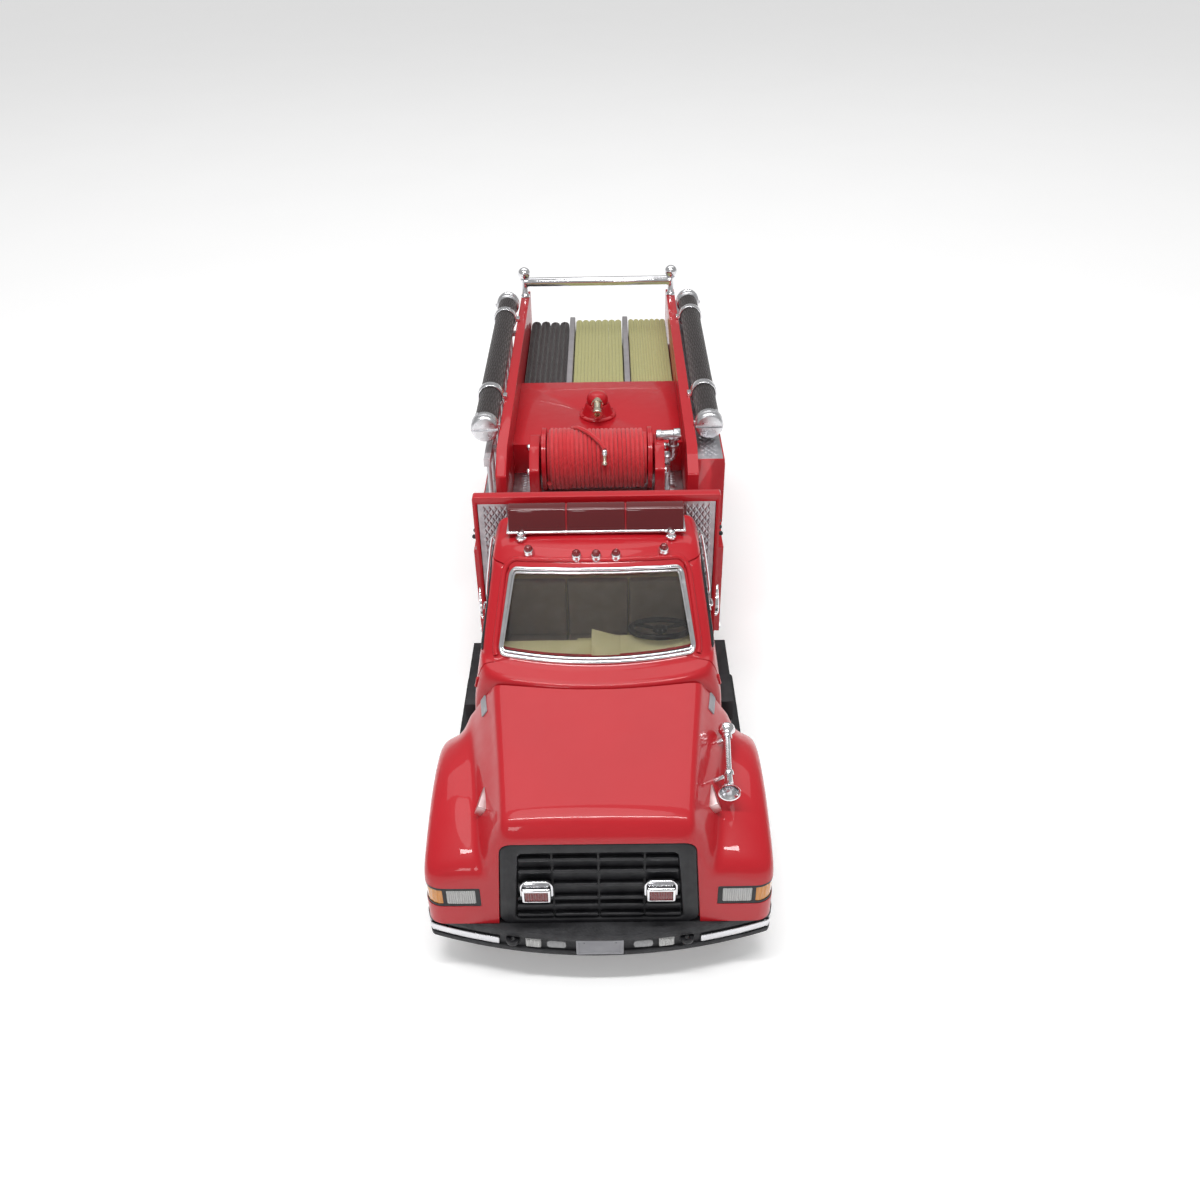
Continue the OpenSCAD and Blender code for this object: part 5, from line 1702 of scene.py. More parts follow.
@dataclass
class LightBar:
    """Roof light bar in three sections over a bright base."""

    wall: float = 0.45
    split: float = 5.35
    gap: float = 0.14
    lean: float = 1.1

    def sections(self) -> list[Flat]:
        """Low and high X of each section.

        Returns:
            The pairs.
        """
        box = Span.of("light_bar_lens")
        edges = [box.low.x, -self.split, self.split, box.high.x]
        return [(a + self.gap, b - self.gap) for a, b in zip(edges, edges[1:])]

    def wedge(self, x0: float, x1: float, d: float, round_by: float) -> Solid:
        """Lens section with sloping front and back.

        Args:
            x0: Its lower end.
            x1: Its higher end.
            d: How far it is set in from the lens's outside.
            round_by: Rounding of its ends.

        Returns:
            The new mesh.
        """
        box = Span.of("light_bar_lens")
        low, top, foot = box.low.z, box.high.z - d, 1.0
        lean = self.lean / box.size.z
        y0, y1 = box.low.y + d * 1.05, box.high.y - d * 1.05
        outline = [(y0 - lean * foot, low - foot), (y1 + lean * foot, low - foot),
                   (y1 - self.lean, top), (y0 + self.lean, top)]
        bm = slab(outline, x0, x1, Axis.X, max(0.15, 0.5 - d), round_by)
        return bm if d else carve(bm, [cuboid((-40, -60, low - 4), (40, 0, low))])

    def lenses(self) -> None:
        """Hollow red lenses with sloping faces."""
        form = Form()
        for x0, x1 in self.sections():
            shell = self.wedge(x0, x1, 0.0, 0.18)
            form.add(carve(shell, [self.wedge(x0 + self.wall, x1 - self.wall, self.wall, 0.0)]))
        form.fit("light_bar_sections", BAR_RED, "light_bar_red", "light_bar_lens")

    def inside(self) -> None:
        """Rotators, their reflectors and the dark dividers."""
        box = Span.of("light_bar_lens")
        mid = box.mid
        reflector = lathe([(0.25, 0.0), (0.9, 0.35), (1.3, 1.1), (1.34, 1.1), (0.95, 0.25), (0.3, -0.1)], 24)
        lamps = Form()
        for x in (-13.2, -8.2, -2.6, 2.6, 8.2, 13.2):
            lamps.add(Form().add(reflector.copy()).bm, shift(x, mid.y, box.low.z + 1.9) @ spin_by(90, Axis.X))
            lamps.add(rod(0.75, 0.9, 20, 0.1), shift(x, mid.y, box.low.z + 0.05))
        reflector.free()
        lamps.fit("light_bar_rotators", CHROME, "chrome")
        form = Form()
        for x in (-self.split, self.split):
            form.add(self.wedge(x - self.gap, x + self.gap, 0.12, 0.0))
        form.fit("light_bar_dividers", DEEP_RED, "dark_red_paint")

    def base(self) -> None:
        """Bright tray and two feet with ball nuts."""
        box = Span.of("light_bar_base")
        lens = Span.of("light_bar_lens")
        form = Form().add(cuboid((box.low.x, lens.low.y - 0.2, box.high.z - 0.6),
                                 (box.high.x, lens.high.y + 0.2, box.high.z), 0.26, 3))
        foot = [(0, -0.3), (0.95, -0.3), (0.95, 0.1), (0.5, 0.3), (0.45, 0.45), (0.66, 0.62), (0.72, 0.85),
                (0.6, 1.15), (0.32, 1.32), (0, 1.36)]
        for x in (-13.5, 13.5):
            form.add(lathe(foot, 28), shift(x, box.low.y + 0.75, box.low.z))
            form.add(cuboid((x - 0.8, lens.low.y + 0.2, box.low.z - 0.1),
                            (x + 0.8, lens.high.y, box.high.z - 0.2), 0.15))
        form.fit("light_bar_tray", CHROME, "chrome", "light_bar_base", smooth_below=45)

    def build(self) -> None:
        """Build the light bar."""
        self.lenses()
        self.inside()
        self.base()


# ---------------------------------------------------------------- pump house


@dataclass
class PumpHouse:
    """Bulkhead, pump panels with their gauges and valves, deck and side steps."""

    #: y behind the bulkhead, height and radius of each gauge
    gauges: tuple[Point, ...] = ((3.4, 38.0, 1.5), (7.6, 38.0, 1.5), (11.0, 38.4, 1.0), (3.4, 34.0, 1.0),
                                 (6.4, 34.0, 1.0), (10.6, 34.0, 1.3))
    start_y: float = -24.0

    def bulkhead(self) -> None:
        """Painted bulkhead with two tread-plate inserts."""
        casting("front_bulkhead", RED, "red_paint", 0.3)
        box = Span.of("bulkhead_plates")
        width, height = box.high.x - 16.0, box.size.z
        field = lozenges((0.2, 0.2), (width - 0.2, height - 0.2))
        plate = Form().add(field, Matrix(((1, 0, 0, 0), (0, 0, -1, 0), (0, 1, 0, 0), (0, 0, 0, 1))))
        plate.add(cuboid((0.02, 0, 0.02), (width - 0.02, 0.2, height - 0.02), 0.05))
        at = shift(16.0, box.low.y + 0.16, box.low.z)
        form = Form().add(plate.bm, at, at @ shift(x=-32.0 - width))
        form.fit("bulkhead_tread", TREAD, "tread_plate", "bulkhead_plates", smooth_below=20)

    def dial(self, radius: float) -> Solid:
        """Gauge rim with a stepped bezel, facing +Z.

        Args:
            radius: Outer radius.

        Returns:
            The new mesh.
        """
        r = radius
        return lathe([(r - 0.3, 0.0), (r, 0.0), (r, 0.28), (r - 0.08, 0.38), (r - 0.2, 0.38),
                      (r - 0.3, 0.25)], 32)

    def panels(self) -> None:
        """Brushed panels, gauges, levers and capped ports."""
        side = Span.of("pump_panels").high.x
        bright, white, dark = Form(), Form(), Form()

        def on(y: float, z: float, out: float = 0.0) -> Matrix:
            """Place on the side panel, facing out."""
            return shift(side + out, self.start_y + y, z) @ Axis.X.turn()

        for y, z, r in self.gauges:
            bright.add(self.dial(r), on(y, z))
            white.add(rod(r - 0.25, 0.2, 32), on(y, z, 0.0))
            for k in range(9):
                tick = spin_by(-120 + 30 * k, Axis.Z) @ shift(y=r - 0.45)
                dark.add(cuboid((-0.035, -0.12, 0.19), (0.035, 0.0, 0.23)), on(y, z) @ tick)
            dark.add(cuboid((-0.04, -0.15, 0.2), (0.04, r * 0.6, 0.27)), on(y, z)
                     @ spin_by(55 - y * 14, Axis.Z))
        for y in (2.6, 5.0, 7.4, 9.8, 12.0):
            bright.add(lathe([(0, 0), (0.55, 0), (0.55, 0.1), (0.2, 0.2), (0.16, 1.3), (0, 1.3)], 16),
                       on(y, 43.6))
            dark.add(lathe([(0, 1.1), (0.32, 1.15), (0.46, 1.5), (0.42, 1.85), (0.2, 2.05), (0, 2.08)], 20),
                     on(y, 43.6))
        intake = [(0, 0), (3.0, 0), (3.0, 0.25), (2.7, 0.4), (2.55, 0.6), (2.55, 1.1), (2.8, 1.25),
                  (2.8, 2.1), (2.5, 2.35), (0.8, 2.35), (0.6, 2.1), (0, 2.1)]
        bright.add(lathe(intake, 48), on(7, 24))
        bright.add(cuboid((2.5, -0.3, 1.3), (3.2, 0.3, 2.0), 0.12),
                   *[on(7, 24) @ spin_by(a, Axis.Z) for a in (90, 210, 330)])
        port = [(0, 0), (1.5, 0), (1.5, 0.2), (1.1, 0.35), (1.05, 0.8), (1.3, 0.95), (1.3, 1.6), (1.1, 1.78),
                (0, 1.78)]
        for y in (3, 11):
            bright.add(lathe(port, 32), on(y, 29.6))
            bright.add(cuboid((1.1, -0.18, 1.0), (1.6, 0.18, 1.5), 0.08),
                       *[on(y, 29.6) @ spin_by(a, Axis.Z) for a in (0, 180)])
        for y, z in ((2.2, 21.0), (11.8, 21.0), (4.4, 18.0), (9.4, 18.0)):
            bright.add(lathe([(0, 0), (0.8, 0), (0.8, 0.2), (0.45, 0.3), (0.45, 0.9), (0.6, 1.0), (0.6, 1.2),
                              (0, 1.2)], 20), on(y, z))
        for y in (1.0, 12.8):
            for z in (16.4, 26.5, 36.5, 45.8):
                bright.add(rod(0.26, 0.14, 6, 0.04), on(y, z, -0.02))
        bright.mirror().fit("pump_valves", CHROME, "chrome", "pump_fittings")
        white.mirror().fit("gauge_faces", WHITE, "silver_paint")
        dark.mirror().fit("gauge_needles", BLACK, "black_plastic")
        casting("pump_panels", SILVER, "silver_paint", 0.12)

    def decks(self) -> None:
        """Tread on the pump deck and the side steps."""
        top = Span.of("pump_deck").high.z
        field = lozenges((-17.8, self.start_y + 0.6), (17.8, 8.6), (1.7, 1.1), 0.12)
        casting("pump_deck", TREAD, "tread_plate", 0.1, extra=lambda f: f.add(field, shift(z=top)),
                smooth_below=20)
        steps = lozenges((21.0, -51.6), (26.9, -28.4), (1.2, 1.8), 0.12)
        rows = Form().add(steps, shift(z=13.0)).mirror()
        casting("side_steps", BLACK, "black_plastic", 0.25, extra=lambda f: f.add(rows.bm))

    def build(self) -> None:
        """Build the pump house."""
        self.bulkhead()
        self.panels()
        self.decks()
        paint("pump_house", DEEP_RED)


# ---------------------------------------------------------------- reel, gun and hoses


@dataclass
class Reel:
    """Booster reel with its wound hose, loose end, nozzle, brackets and inlet."""

    centre: Point = (0.0, 0.4, 49.0)
    outer: float = 6.3
    tube: float = 0.46
    turns: int = 23
    pitch: float = 0.885
    flange_x: float = 11.0

    def at(self, x: float, angle: float, radius: float) -> Point:
        """Point round the reel; the angle runs forward from the top in degrees."""
        turn = math.radians(angle)
        return (x, self.centre[1] - radius * math.sin(turn), self.centre[2] + radius * math.cos(turn))

    def winding(self) -> None:
        """Wound hose, with a second layer over its left third and the loose end."""
        steps = 28
        first = -self.turns * self.pitch / 2 + 0.1
        radius = self.outer - self.tube

        def coil(x0: float, turns: float, r: float, start: float) -> list[Point]:
            """One layer of turns."""
            return [self.at(x0 + self.pitch * k / steps, start + 360 * k / steps, r)
                    for k in range(int(turns * steps) + 1)]

        form = Form().add(hose(coil(first, self.turns - 0.6, radius, 120), self.tube, 8))
        form.add(hose(coil(first + 0.15, 5, radius + 0.22, 120), self.tube, 8))
        loose = [(-5.4, -52, 6.0), (-5.0, -30, 6.3), (-3.6, -8, 6.62), (-1.4, 14, 6.72), (0.6, 34, 6.9),
                 (1.6, 47, 7.05)]
        form.add(hose(smooth_path([self.at(*p) for p in loose], 6), self.tube, 8))
        form.add(lathe([(0, -10.3), (5.4, -10.3), (5.4, 10.3), (0, 10.3)], 48),
                 Matrix.Translation(self.centre) @ Axis.X.turn())
        form.fit("wound_hose", RED_HOSE, "red_hose", "reel_hose", body=Body.REEL, smooth_below=50)

    def nozzle(self) -> None:
        """Nozzle lying along the winding."""
        start, end = Vector((1.6, -5.0, 53.57)), Vector((1.6, -6.41, 50.93))
        brass = [(0, 0.9), (0.5, 0.9), (0.42, 1.3), (0.4, 2.2), (0.56, 2.4), (0.56, 2.85), (0.42, 2.95),
                 (0.25, 2.95), (0.2, 2.3), (0, 2.3)]
        form = Form().add(lathe(brass, 28), aim(start, end))
        form.fit("hose_nozzle", BRASS, "aged_brass", "reel_nozzle", body=Body.REEL)
        ring = [(0, -0.1), (0.5, -0.1), (0.64, 0.05), (0.64, 0.35), (0.56, 0.45), (0.64, 0.55), (0.64, 0.85),
                (0.5, 1.0), (0, 1.0)]
        Form().add(lathe(ring, 28), aim(start, end)).fit("nozzle_coupling", CHROME, "chrome", body=Body.REEL)

    def drum(self) -> None:
        """Flanges with pressed ribs and a hub."""
        def ribs(form: Form) -> None:
            """Add the pressed ribs, ring and hub."""
            rib = cuboid((-0.3, 3.0, -0.1), (0.3, 6.1, 0.35), 0.12)
            ring = lathe([(5.8, -0.05), (6.5, -0.05), (6.5, 0.35), (6.3, 0.45), (6.0, 0.45), (5.8, 0.3)], 56)
            hub = lathe([(1.3, -0.05), (2.8, -0.05), (2.6, 0.4), (1.3, 0.45)], 36)
            side = Form()
            side.add(rib, *[spin_by(a, Axis.Z) for a in range(0, 360, 60)]).add(ring).add(hub)
            half = Form().add(side.bm, Matrix.Translation(self.centre) @ Axis.X.turn()
                              @ shift(z=self.flange_x))
            form.add(half.mirror().bm)
        casting("reel_drum", RED, "dark_red_paint", 0.12, Body.REEL, ribs)

    def brackets(self) -> None:
        """A-brackets, their bolts and bearing caps."""
        casting("reel_frame", RED, "dark_red_paint", 0.25)
        bolt = [(0, 0), (0.66, 0), (0.66, 0.2), (0.58, 0.45), (0.36, 0.66), (0, 0.74)]
        cap = [(0, 0.02), (1.7, 0.02), (1.7, 0.3), (1.4, 0.4), (1.2, 0.42), (0, 0.42)]
        x = Span.of("reel_frame").high.x - 0.48
        form = Form()
        for y, z in ((-1.6, 3.6), (-6.6, 0.6), (4.3, -6.6), (-6.6, -6.6)):
            form.add(lathe(bolt, 20), shift(x, self.centre[1] + y, self.centre[2] + z) @ Axis.X.turn())
        form.mirror().fit("reel_bolts", CHROME, "chrome")
        ends = Form().add(lathe(cap, 32), shift(-x, *self.centre[1:]) @ spin_by(180, Axis.Z) @ Axis.X.turn())
        ends.fit("reel_bearing_cap", RED, "red_paint")

    def inlet(self) -> None:
        """Silver elbow that feeds the reel."""
        _, y, z = self.centre
        x = Span.of("reel_inlet").low.x
        route = [(x + 0.4, y, z), (x + 1.2, y, z), (x + 1.9, y, z + 0.6), (x + 2.0, y, z + 2.0),
                 (x + 2.0, y, z + 5.2)]
        form = Form().add(hose(smooth_path(route, 5), 0.95, 16))
        tee = [(0, 0), (0.9, 0), (1.15, 0.2), (1.15, 1.0), (1.0, 1.2), (1.0, 3.6), (1.25, 3.8), (1.25, 4.9),
               (1.05, 5.1), (0.7, 5.1), (0.6, 4.4), (0, 4.4)]
        form.add(lathe(tee, 32), aim((x - 1.6, y, z + 5.1), (x + 3.6, y - 0.3, z + 5.5)))
        form.add(rod(1.45, 1.2, 6, 0.12), shift(x, y, z) @ Axis.X.turn())
        form.add(lathe([(0.9, 0), (1.2, 0), (1.25, 0.3), (1.2, 0.6), (0.9, 0.6)], 24),
                 shift(x + 2.0, y, z + 2.4))
        form.add(cuboid((x, y - 1, 41.05), (x + 1.5, y + 1, z - 1.3), 0.25))
        form.add(cuboid((x, y - 1.3, 41.03), (x + 2.7, y + 1.3, 41.6), 0.2))
        form.fit("reel_elbow", BRIGHT_SILVER, "chrome", "reel_inlet", smooth_below=45)

    def build(self) -> None:
        """Build the reel."""
        self.winding()
        self.nozzle()
        self.drum()
        self.brackets()
        self.inlet()


@dataclass
class DeckGun:
    """Deck gun on the box behind the reel."""

    centre_y: float = 23.08
    foot_z: float = 51.25

    def build(self) -> None:
        """Build the flange, the turret and the barrel."""
        flange = [(0, 0.02), (4.1, 0.02), (4.1, 0.4), (3.95, 0.55), (3.5, 0.7), (3.2, 1.3), (2.9, 2.2),
                  (2.65, 2.9), (2.5, 3.1), (1.6, 3.2), (0, 3.2)]
        base = Form().add(lathe(flange, 64), shift(0, self.centre_y, 48.0))
        bolt = rod(0.3, 0.3, 6, 0.06)
        base.add(bolt, *[shift(0, self.centre_y, 48.55) @ spin_by(a, Axis.Z) @ shift(3.72)
                         for a in range(30, 390, 60)])
        base.fit("gun_flange", RED, "red_paint", "gun_base", smooth_below=30)
        top = Span.of("deck_gun").high.z
        foot = shift(0, self.centre_y, self.foot_z)
        height = top - self.foot_z
        turret = [(0, 0), (2.3, 0), (2.4, 0.15), (2.4, 0.9), (2.2, 1.5), (1.7, height - 0.35),
                  (0.9, height - 0.06), (0, height)]
        Form().add(lathe(turret, 48), foot).fit("gun_turret", RED, "red_paint", body=Body.MONITOR,
                                                smooth_below=50)
        barrel = [(0, 0), (1.0, 0), (1.0, 2.5), (1.2, 2.65), (1.2, 3.2), (0.92, 3.35), (0.82, 5.3),
                  (1.0, 5.5), (1.08, 5.7), (1.08, 6.9), (0.95, 7.05), (0.65, 7.05), (0.5, 6.0), (0, 5.8)]
        place = shift(0, self.centre_y, 52.45) @ spin_by(98, Axis.X)
        form = Form().add(lathe(barrel, 36), place)
        form.add(cuboid((-0.09, -0.09, 2.6), (0.09, 0.09, 3.25)), *[place @ spin_by(a, Axis.Z) @ shift(1.2)
                                                                  for a in range(0, 360, 30)])
        form.fit("gun_barrel", BRASS, "aged_brass", "deck_gun", body=Body.MONITOR)


@dataclass
class HoseBed:
    """Deck box, dividers and the three folded hose loads."""

    def build(self) -> None:
        """Build the bed."""
        casting("deck_box", RED, "red_paint", 0.3)
        casting("hose_bed", GREY, "grey_plastic", 0.15)
        casting("bed_dividers", GREY, "grey_plastic", 0.2)
        dark = Span.of("dark_hose_load")
        form = Form().add(folded_hose(dark.low, dark.high, 8, 0.3, 1.0))
        form.fit("dark_hose_folds", DARK_HOSE, "dark_hose", "dark_hose_load", smooth_below=60)
        cream = Span.of("cream_hose_loads")
        form = Form()
        for x0, x1 in ((cream.low.x, 6.25), (8.15, cream.high.x)):
            form.add(folded_hose((x0, cream.low.y, cream.low.z), (x1, cream.high.y, cream.high.z), 14, 0.06,
                                 0.25))
        form.fit("cream_hose_folds", CREAM_HOSE, "cream_hose", "cream_hose_loads", smooth_below=60)
        latch = Form().add(cuboid((-0.8, 8.72, 45.0), (0.8, 9.02, 46.6), 0.1))
        latch.add(cuboid((-0.45, 8.5, 45.3), (0.45, 8.8, 46.9), 0.12))
        Form().add(latch.bm, shift(-9), shift(9)).fit("box_latches", CHROME, "chrome")


@dataclass
class SuctionHoses:
    """Two hard suction hoses with couplings, clamped on the body sides."""

    rib: float = 0.62

    def build(self) -> None:
        """Build the hoses, couplings and clamps."""
        tube, ends = Span.of("suction_hoses"), Span.of("suction_couplings")
        x, z, r = ends.high.x - 2.9, ends.mid.z, tube.high.x - (ends.high.x - 2.9)
        count = int(tube.size.y / self.rib)
        pitch = tube.size.y / count
        profile: list[Flat] = [(0, 0)]
        for k in range(count):
            profile += [(r - 0.07, k * pitch + 0.04), (r, k * pitch + pitch * 0.35),
                        (r, k * pitch + pitch * 0.65)]
        profile += [(r - 0.07, tube.size.y), (0, tube.size.y)]
        place = shift(x, tube.low.y, z) @ Axis.Y.turn()
        Form().add(lathe(profile, 40), place).mirror().fit("ribbed_suction_hoses", DARK_HOSE, "dark_hose",
                                                           "suction_hoses", smooth_below=60)
        cap = [(0, 0), (2.35, 0), (2.6, 0.1), (2.85, 0.4), (2.9, 0.7), (2.9, 1.2), (2.7, 1.35), (2.7, 1.6),
               (2.9, 1.75), (2.9, 2.8), (2.75, 3.1), (2.5, 3.36), (0, 3.36)]
        coupling = carve(lathe(cap, 56), [cuboid((-4, -0.3, -1), (4, 0.3, 0.4))])
        lug = cuboid((2.6, -0.32, 1.9), (3.25, 0.32, 2.7), 0.12)
        form = Form().add(coupling).add(lug, *[spin_by(a, Axis.Z) for a in (60, 180, 300)])
        both = Form().add(form.bm, shift(x, ends.low.y, z) @ Axis.Y.turn(),
                          shift(x, ends.high.y, z) @ spin_by(180, Axis.Z) @ Axis.Y.turn())
        both.mirror().fit("hose_couplings", BRIGHT_SILVER, "chrome", "suction_couplings", smooth_below=30)
        casting("hose_brackets", CHROME, "chrome", 0.1)


# ---------------------------------------------------------------- body, wheels and chassis


@dataclass
class Coachwork:
    """Body sides with doors, handles, rails and trays, the ladder and the rear fittings."""

    side: float = 26.4
    low_top: float = 33.0
    high_top: float = 50.6
    wheel_y: float = REAR_AXLE
    wheel_z: float = 12.0
    arch_r: float = 14.4
    knob: float = 1.6
    #: start and end of each door along the body
    doors: tuple[Flat, ...] = ((-2.3, 14.8), (17.0, 34.4), (67.6, 86.3))
    over_wheel: Flat = (37.0, 65.2)
    end: float = 88.0
    lamp_x: float = 22.4
    lamp_z: tuple[float, ...] = (17.0, 20.4, 23.8)

    def door(self, y0: float, y1: float, z0: float, z1: float) -> Solid:
        """Raised door with a sunk panel, on the +X side."""
        panel = cuboid((self.side - 0.1, y0, z0), (self.side + 0.32, y1, z1), 0.14)
        return pocket(panel, (1, 0, 0), 0.8, 0.16, 0.14)

    def handle(self) -> Solid:
        """D-ring handle on a round plate, facing +Z.

        Returns:
            The new mesh.
        """
        ring = hose([(x, y - 0.3, 0.42) for x, y in circle(0.75, 16)], 0.13, 8, True)
        plate = lathe([(0, 0), (1.0, 0), (1.0, 0.16), (0.85, 0.24), (0, 0.24)], 28)
        return Form().add(ring).add(plate).add(cuboid((-0.3, 0.3, 0.2), (0.3, 0.6, 0.6), 0.1)).bm

    def hinges(self, doors: Iterable[Flat], heights: Sequence[float]) -> tuple[Solid, list[Matrix]]:
        """One hinge knuckle, and its places along the doors' rear edges."""
        places = [shift(self.side + 0.3, y1 + 0.25, z) for _, y1 in doors for z in heights]
        return Form().add(rod(0.24, 2.4, 12, 0.05), shift(z=-1.2)).bm, places

    def sides(self) -> None:
        """Body sides with their doors."""
        lower = Form()
        for y0, y1 in self.doors:
            lower.add(self.door(y0, y1, 12.8, 31.2))
        upper = Form()
        for y0, y1 in (*self.doors, self.over_wheel):
            upper.add(self.door(y0, y1, 34.4, 48.8))
        casting("body_left", RED, "red_paint", 0.22)
        casting("body_right", RED, "red_paint", 0.22)
        form = lower.mirror().add(upper.bm)
        form.fit("body_doors", RED, "red_paint")

    def hardware(self) -> None:
        """Handles, hinges, rub rails, arch trims and tread trays."""
        def on(y: float, z: float, out: float = 0.14) -> Matrix:
            """Place on the side panel, facing out."""
            return shift(self.side + out, y, z) @ Axis.X.turn()

        upper = (*self.doors, self.over_wheel)
        bright = Form()
        low_places = [on((y0 + y1) / 2, 22) for y0, y1 in self.doors]
        high_places = [on((y0 + y1) / 2, 41.5) for y0, y1 in upper]
        bright.add(self.handle(), *low_places)
        knuckle, places = self.hinges(self.doors, (15.5, 28.5))
        bright.add(knuckle, *places)
        for y0, y1 in ((-9.6, 36.2), (66.0, 87.8)):
            bright.add(cuboid((self.side - 0.1, y0, 11.15), (self.side + 0.42, y1, 11.95), 0.12))
        place = shift(self.side - 0.05, self.wheel_y, self.wheel_z) @ Axis.X.turn()
        trim, room = rod(self.arch_r + 0.8, 0.42, 96), rod(self.arch_r + 0.05, 4, 96)
        bmesh.ops.translate(room, vec=(0, 0, -2), verts=room.verts)
        below = cuboid((-40, 0, -40), (40, 100, 11.2))
        arch = Form().add(carve(trim, [room]), place).bm
        bright.add(carve(arch, [below]))
        bright.mirror()
        bright.add(self.handle(), *high_places)
        knuckle, places = self.hinges(upper, (37.0, 46.5))
        bright.add(knuckle, *places)
        bright.fit("body_hardware", CHROME, "chrome")
        trays = Form()
        for x0, x1, y0, top in ((20.9, 26.1, -3.6, self.high_top), (-26.1, -20.9, -9.6, self.low_top)):
            tray = cuboid((x0, y0, top - 0.05), (x1, 87.6, top + 0.1), 0.05)
            trays.add(tray).add(lozenges((x0 + 0.2, y0 + 0.3), (x1 - 0.2, 87.3), (1.3, 1.9), 0.12),
                                shift(z=top + 0.08))
        trays.fit("body_trays", TREAD, "tread_plate", smooth_below=20)

    def rear(self) -> None:
        """Rear door, grab rails, lamps, tailboard and cross rail."""
        end = self.end
        panel = Form().add(pocket(cuboid((-12, 87.8, 20.5), (12, 88.25, 35.5), 0.15), (0, 1, 0), 0.7, 0.12,
                                  0.12))
        panel.add(lozenges((-11, 0.4), (11, 13.2), (1.6, 1.6), 0.1),
                  shift(0, 88.12, 21.2) @ Matrix(((-1, 0, 0, 0), (0, 0, 1, 0), (0, 1, 0, 0), (0, 0, 0, 1))))
        panel.fit("rear_door", TREAD, "tread_plate", smooth_below=20)
        rails = Form()
        for x in (-19.5, 19.5):
            rails.add(hose(smooth_path([(x, end, 29), (x, 89.6, 29), (x, 89.9, 30), (x, 89.9, 48),
                                        (x, 89.6, 49), (x, end, 49)], 5), 0.34, 10))
            rails.add(lathe([(0, 0), (0.7, 0), (0.7, 0.2), (0.4, 0.35), (0, 0.35)], 20),
                      shift(x, end, 29) @ Axis.Y.turn(), shift(x, end, 49) @ Axis.Y.turn())
        handle = Form().add(self.handle(), shift(0, 88.12, 33.4) @ spin_by(180, Axis.Z) @ spin_by(90, Axis.X))
        rails.add(handle.bm)
        for x in (-self.lamp_x, self.lamp_x):
            for z in self.lamp_z:
                rails.add(pocket(cuboid((x - 2.5, end, z - 1.6), (x + 2.5, end + 0.4, z + 1.6), 0.2),
                                 (0, 1, 0), 0.25, 0.25))
        rails.fit("rear_fittings", CHROME, "chrome")
        lamps = Span.of("tail_lamps")
        form = Form()
        for x in (-self.lamp_x, self.lamp_x):
            for z in self.lamp_z:
                form.add(cuboid((x - 2.1, end + 0.1, z - 1.2), (x + 2.1, lamps.high.y - 0.08, z + 1.2), 0.25,
                                3))
                form.add(flutes(3.6, 2.0, 9), shift(x, lamps.high.y - 0.1, z) @ spin_by(180, Axis.Z))
        form.fit("tail_lamp_glass", RUBY, "red_lens", "tail_lamps")
        board = Span.of("tailboard")
        field = lozenges((-25.2, end + 0.5), (25.2, board.high.y - 0.6), (1.7, 1.1), 0.12)
        casting("tailboard", TREAD, "tread_plate", 0.2, extra=lambda f: f.add(field, shift(z=12.6)),
                smooth_below=20)

    def handrail(self) -> None:
        """Cross rail on two posts with ball caps."""
        box = Span.of("rear_handrail")
        knob = self.knob
        x, y, foot = box.high.x - knob, box.mid.y, box.low.z
        ball = box.high.z - foot - knob
        post = [(0, 0), (1.15, 0), (1.15, 0.4), (0.9, 0.7), (0.75, 0.9), (0.75, ball - 1.9),
                (1.05, ball - 1.75), (1.05, ball - 1.45), (0.8, ball - 1.4)]
        post += [(knob * math.cos(math.radians(a)), ball + knob * math.sin(math.radians(a)))
                 for a in range(-55, 90, 12)]
        post.append((0, ball + knob))
        form = Form().add(lathe(post, 36), shift(x, y, foot), shift(-x, y, foot))
        rail = [(0, 0), (1.35, 0), (1.35, 0.9), (1.2, 1.1), (1.2, 2 * x - 1.1), (1.35, 2 * x - 0.9),
                (1.35, 2 * x), (0, 2 * x)]
        form.add(lathe(rail, 32), shift(-x, y, 57.9) @ Axis.X.turn())
        form.fit("rear_cross_rail", CHROME, "chrome", "rear_handrail", smooth_below=40)

    def build(self) -> None:
        """Build the body."""
        self.sides()
        self.hardware()
        self.rear()
        self.handrail()
        casting("ladder", SILVER, "silver_paint", 0.2)


@dataclass(frozen=True)
class WheelSet:
    """One axle's wheels: where its tyres and rims stand."""

    body: Body
    y: float
    tyres: tuple[float, ...]
    rims: str
    tyre_node: str
    axle: str


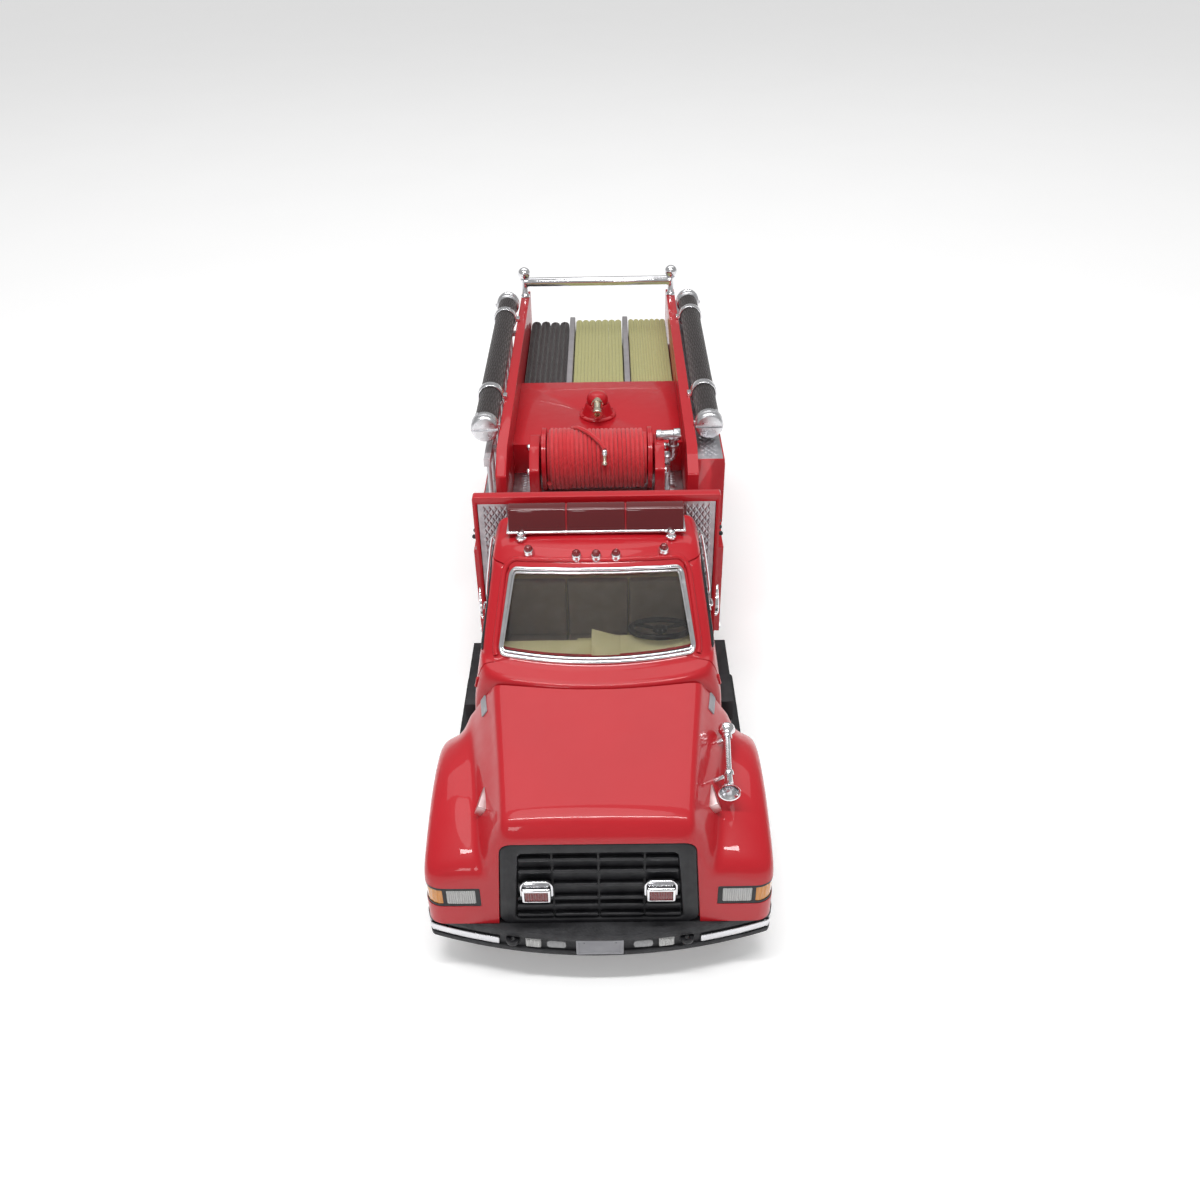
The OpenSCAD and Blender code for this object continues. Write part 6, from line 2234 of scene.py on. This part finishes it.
@dataclass
class Wheels:
    """Tyres with tread blocks and dished discs with nuts."""

    radius: float = 12.0
    bead: float = 7.25
    width: float = 6.2
    axle_z: float = 12.0
    blocks: int = 38
    sets: tuple[WheelSet, ...] = (
        WheelSet(Body.FRONT_WHEELS, FRONT_AXLE, (20.1,), "front_rims", "front_tyres", "front_axle"),
        WheelSet(Body.REAR_WHEELS, REAR_AXLE, (19.2, 12.2), "rear_rims", "rear_tyres", "rear_axle"),
    )

    def tyre(self) -> Solid:
        """One tyre about +Z, from z 0 to its width.

        Returns:
            The new mesh.
        """
        w, r = self.width, self.radius
        half = [(self.bead, 0.55), (7.7, 0.3), (8.1, 0.35), (8.3, 0.12), (9.3, 0.0), (9.9, 0.05),
                (10.0, 0.16), (10.2, 0.05), (10.8, 0.25), (11.25, 0.7), (r - 0.5, 1.3)]
        profile = half + [(a, w - b) for a, b in reversed(half)]
        form = Form().add(lathe(profile, 96))
        step = math.tau / self.blocks
        shoulder = cuboid((r - 0.75, -0.66, 0.35), (r - 0.02, 0.66, 1.75), 0.08, 1)
        crown = cuboid((r - 0.75, -0.7, 2.0), (r - 0.02, 0.7, 2.98), 0.08, 1)
        for k, block in enumerate((shoulder, crown)):
            turns = [spin_by(math.degrees(step * (i + k * 0.5)), Axis.Z) for i in range(self.blocks)]
            flip = [spin_by(math.degrees(step * (i + k * 0.5 + 0.5)), Axis.Z) @ shift(z=w)
                    @ spin_by(180, Axis.X) for i in range(self.blocks)]
            form.add(block, *turns, *flip)
        return form.bm

    def nuts(self, half: Surface, group: WheelSet) -> Solid:
        """Wheel nuts and a stepped hub cap on the +X disc.

        Args:
            half: The disc to seat them on.
            group: The axle.

        Returns:
            The new mesh.
        """
        form = Form()
        for i in range(10):
            turn = math.tau * (i + 0.5) / 10
            at = (60.0, group.y + 3.35 * math.cos(turn), self.axle_z + 3.35 * math.sin(turn))
            place = half.seat(at, (-1, 0, 0)).translation
            form.add(lathe([(0, -0.1), (0.42, -0.1), (0.42, 0.12), (0.3, 0.2), (0.26, 0.62), (0, 0.68)], 6),
                     Matrix.Translation(place) @ Axis.X.turn())
        hub = half.seat((60.0, group.y + 1.9, self.axle_z), (-1, 0, 0)).translation.x
        cap = [(1.25, -0.1), (2.45, -0.1), (2.45, 0.1), (2.3, 0.25), (1.9, 0.3), (1.8, 0.42), (1.25, 0.42)]
        form.add(lathe(cap, 36), shift(hub, group.y, self.axle_z) @ Axis.X.turn())
        return form.bm

    def build(self) -> None:
        """Build both axles' wheels."""
        for group in self.sets:
            form = Form()
            for x in group.tyres:
                form.add(self.tyre(), shift(x, group.y, self.axle_z) @ Axis.X.turn())
            name = group.tyre_node + "_tread"
            form.mirror().fit(name, TYRE, "tyre_rubber", group.tyre_node, body=group.body, smooth_below=30)
            face = Surface(cad_copy(group.rims))
            outer = Form().add(self.nuts(face, group)).mirror()
            casting(group.rims, BRIGHT_SILVER, "rim_silver", 0.12, group.body, lambda f: f.add(outer.bm))
            paint(group.axle, STEEL)


@dataclass
class Chassis:
    """Ladder frame, moulded driveline, springs, exhaust and drive shaft."""

    def springs(self) -> Solid:
        """One leaf spring along Y, its clip at the origin.

        Returns:
            The new mesh.
        """
        form = Form()
        for k, length in enumerate((8.5, 6.6, 4.8, 3.0)):
            z = -0.42 * k
            leaf = [(-length, z + 0.0135 * length ** 2), (-length / 2, z + 0.0034 * length ** 2), (0, z),
                    (length / 2, z + 0.0034 * length ** 2), (length, z + 0.0135 * length ** 2)]
            low = [(y, h - 0.34) for y, h in reversed(leaf)]
            form.add(slab(leaf + low, -0.75, 0.75, Axis.X))
        form.add(cuboid((-0.95, -0.6, -1.75), (0.95, 0.6, 0.2), 0.12))
        return form.bm

    def build(self) -> None:
        """Build the underside."""
        paint("chassis_frame", FRAME)
        casting("driveline", BLACK, "black_plastic", 0.3)
        form = Form()
        for y in (FRONT_AXLE, REAR_AXLE):
            form.add(self.springs(), shift(6.9, y, 12.6))
        form.mirror().fit("leaf_springs", FRAME, "frame_black")
        pipe = hose(smooth_path([(5.2, -46, 11.6), (5.2, -40, 11.2), (4.6, -30, 11.4), (4.6, -20, 11.6)], 5),
                    0.6, 12)
        box = lathe([(0, 0), (1.2, 0), (1.75, 0.8), (1.75, 13.2), (1.2, 14.0), (0, 14.0)], 32)
        tail = hose(smooth_path([(4.6, -7, 11.6), (4.6, 10, 11.6), (4.8, 30, 11.8)], 4), 0.6, 12)
        form = Form().add(pipe).add(box, shift(4.6, -20.5, 11.6) @ Axis.Y.turn()).add(tail)
        shaft = lathe([(0, 0), (1.0, 0), (1.0, 1.2), (0.7, 1.6), (0.7, 86.4), (1.0, 86.8), (1.0, 88),
                       (0, 88)], 24)
        form.add(shaft, shift(0, -45.0, 13.0) @ Axis.Y.turn())
        case = [(0, -2.9), (1.4, -2.8), (2.4, -1.9), (2.9, 0), (2.4, 1.9), (1.4, 2.8), (0, 2.9)]
        form.add(lathe(case, 28), shift(0, 46.4, 12.6) @ Axis.Y.turn())
        form.fit("exhaust_and_shaft", STEEL, "axle_steel")


def main() -> None:
    """Build the engine round its frame, then its studio."""
    Studio().build()
    for assembly in (Nose(), Bumper(), Cab(), LightBar(), PumpHouse(), Reel(), DeckGun(), HoseBed(),
                     SuctionHoses(), Coachwork(), Wheels(), Chassis()):
        log.info("building %s", type(assembly).__name__)
        assembly.build()


if __name__ == "__main__":
    logging.basicConfig(level=logging.INFO, stream=sys.stdout, format="%(name)s: %(message)s")
    main()
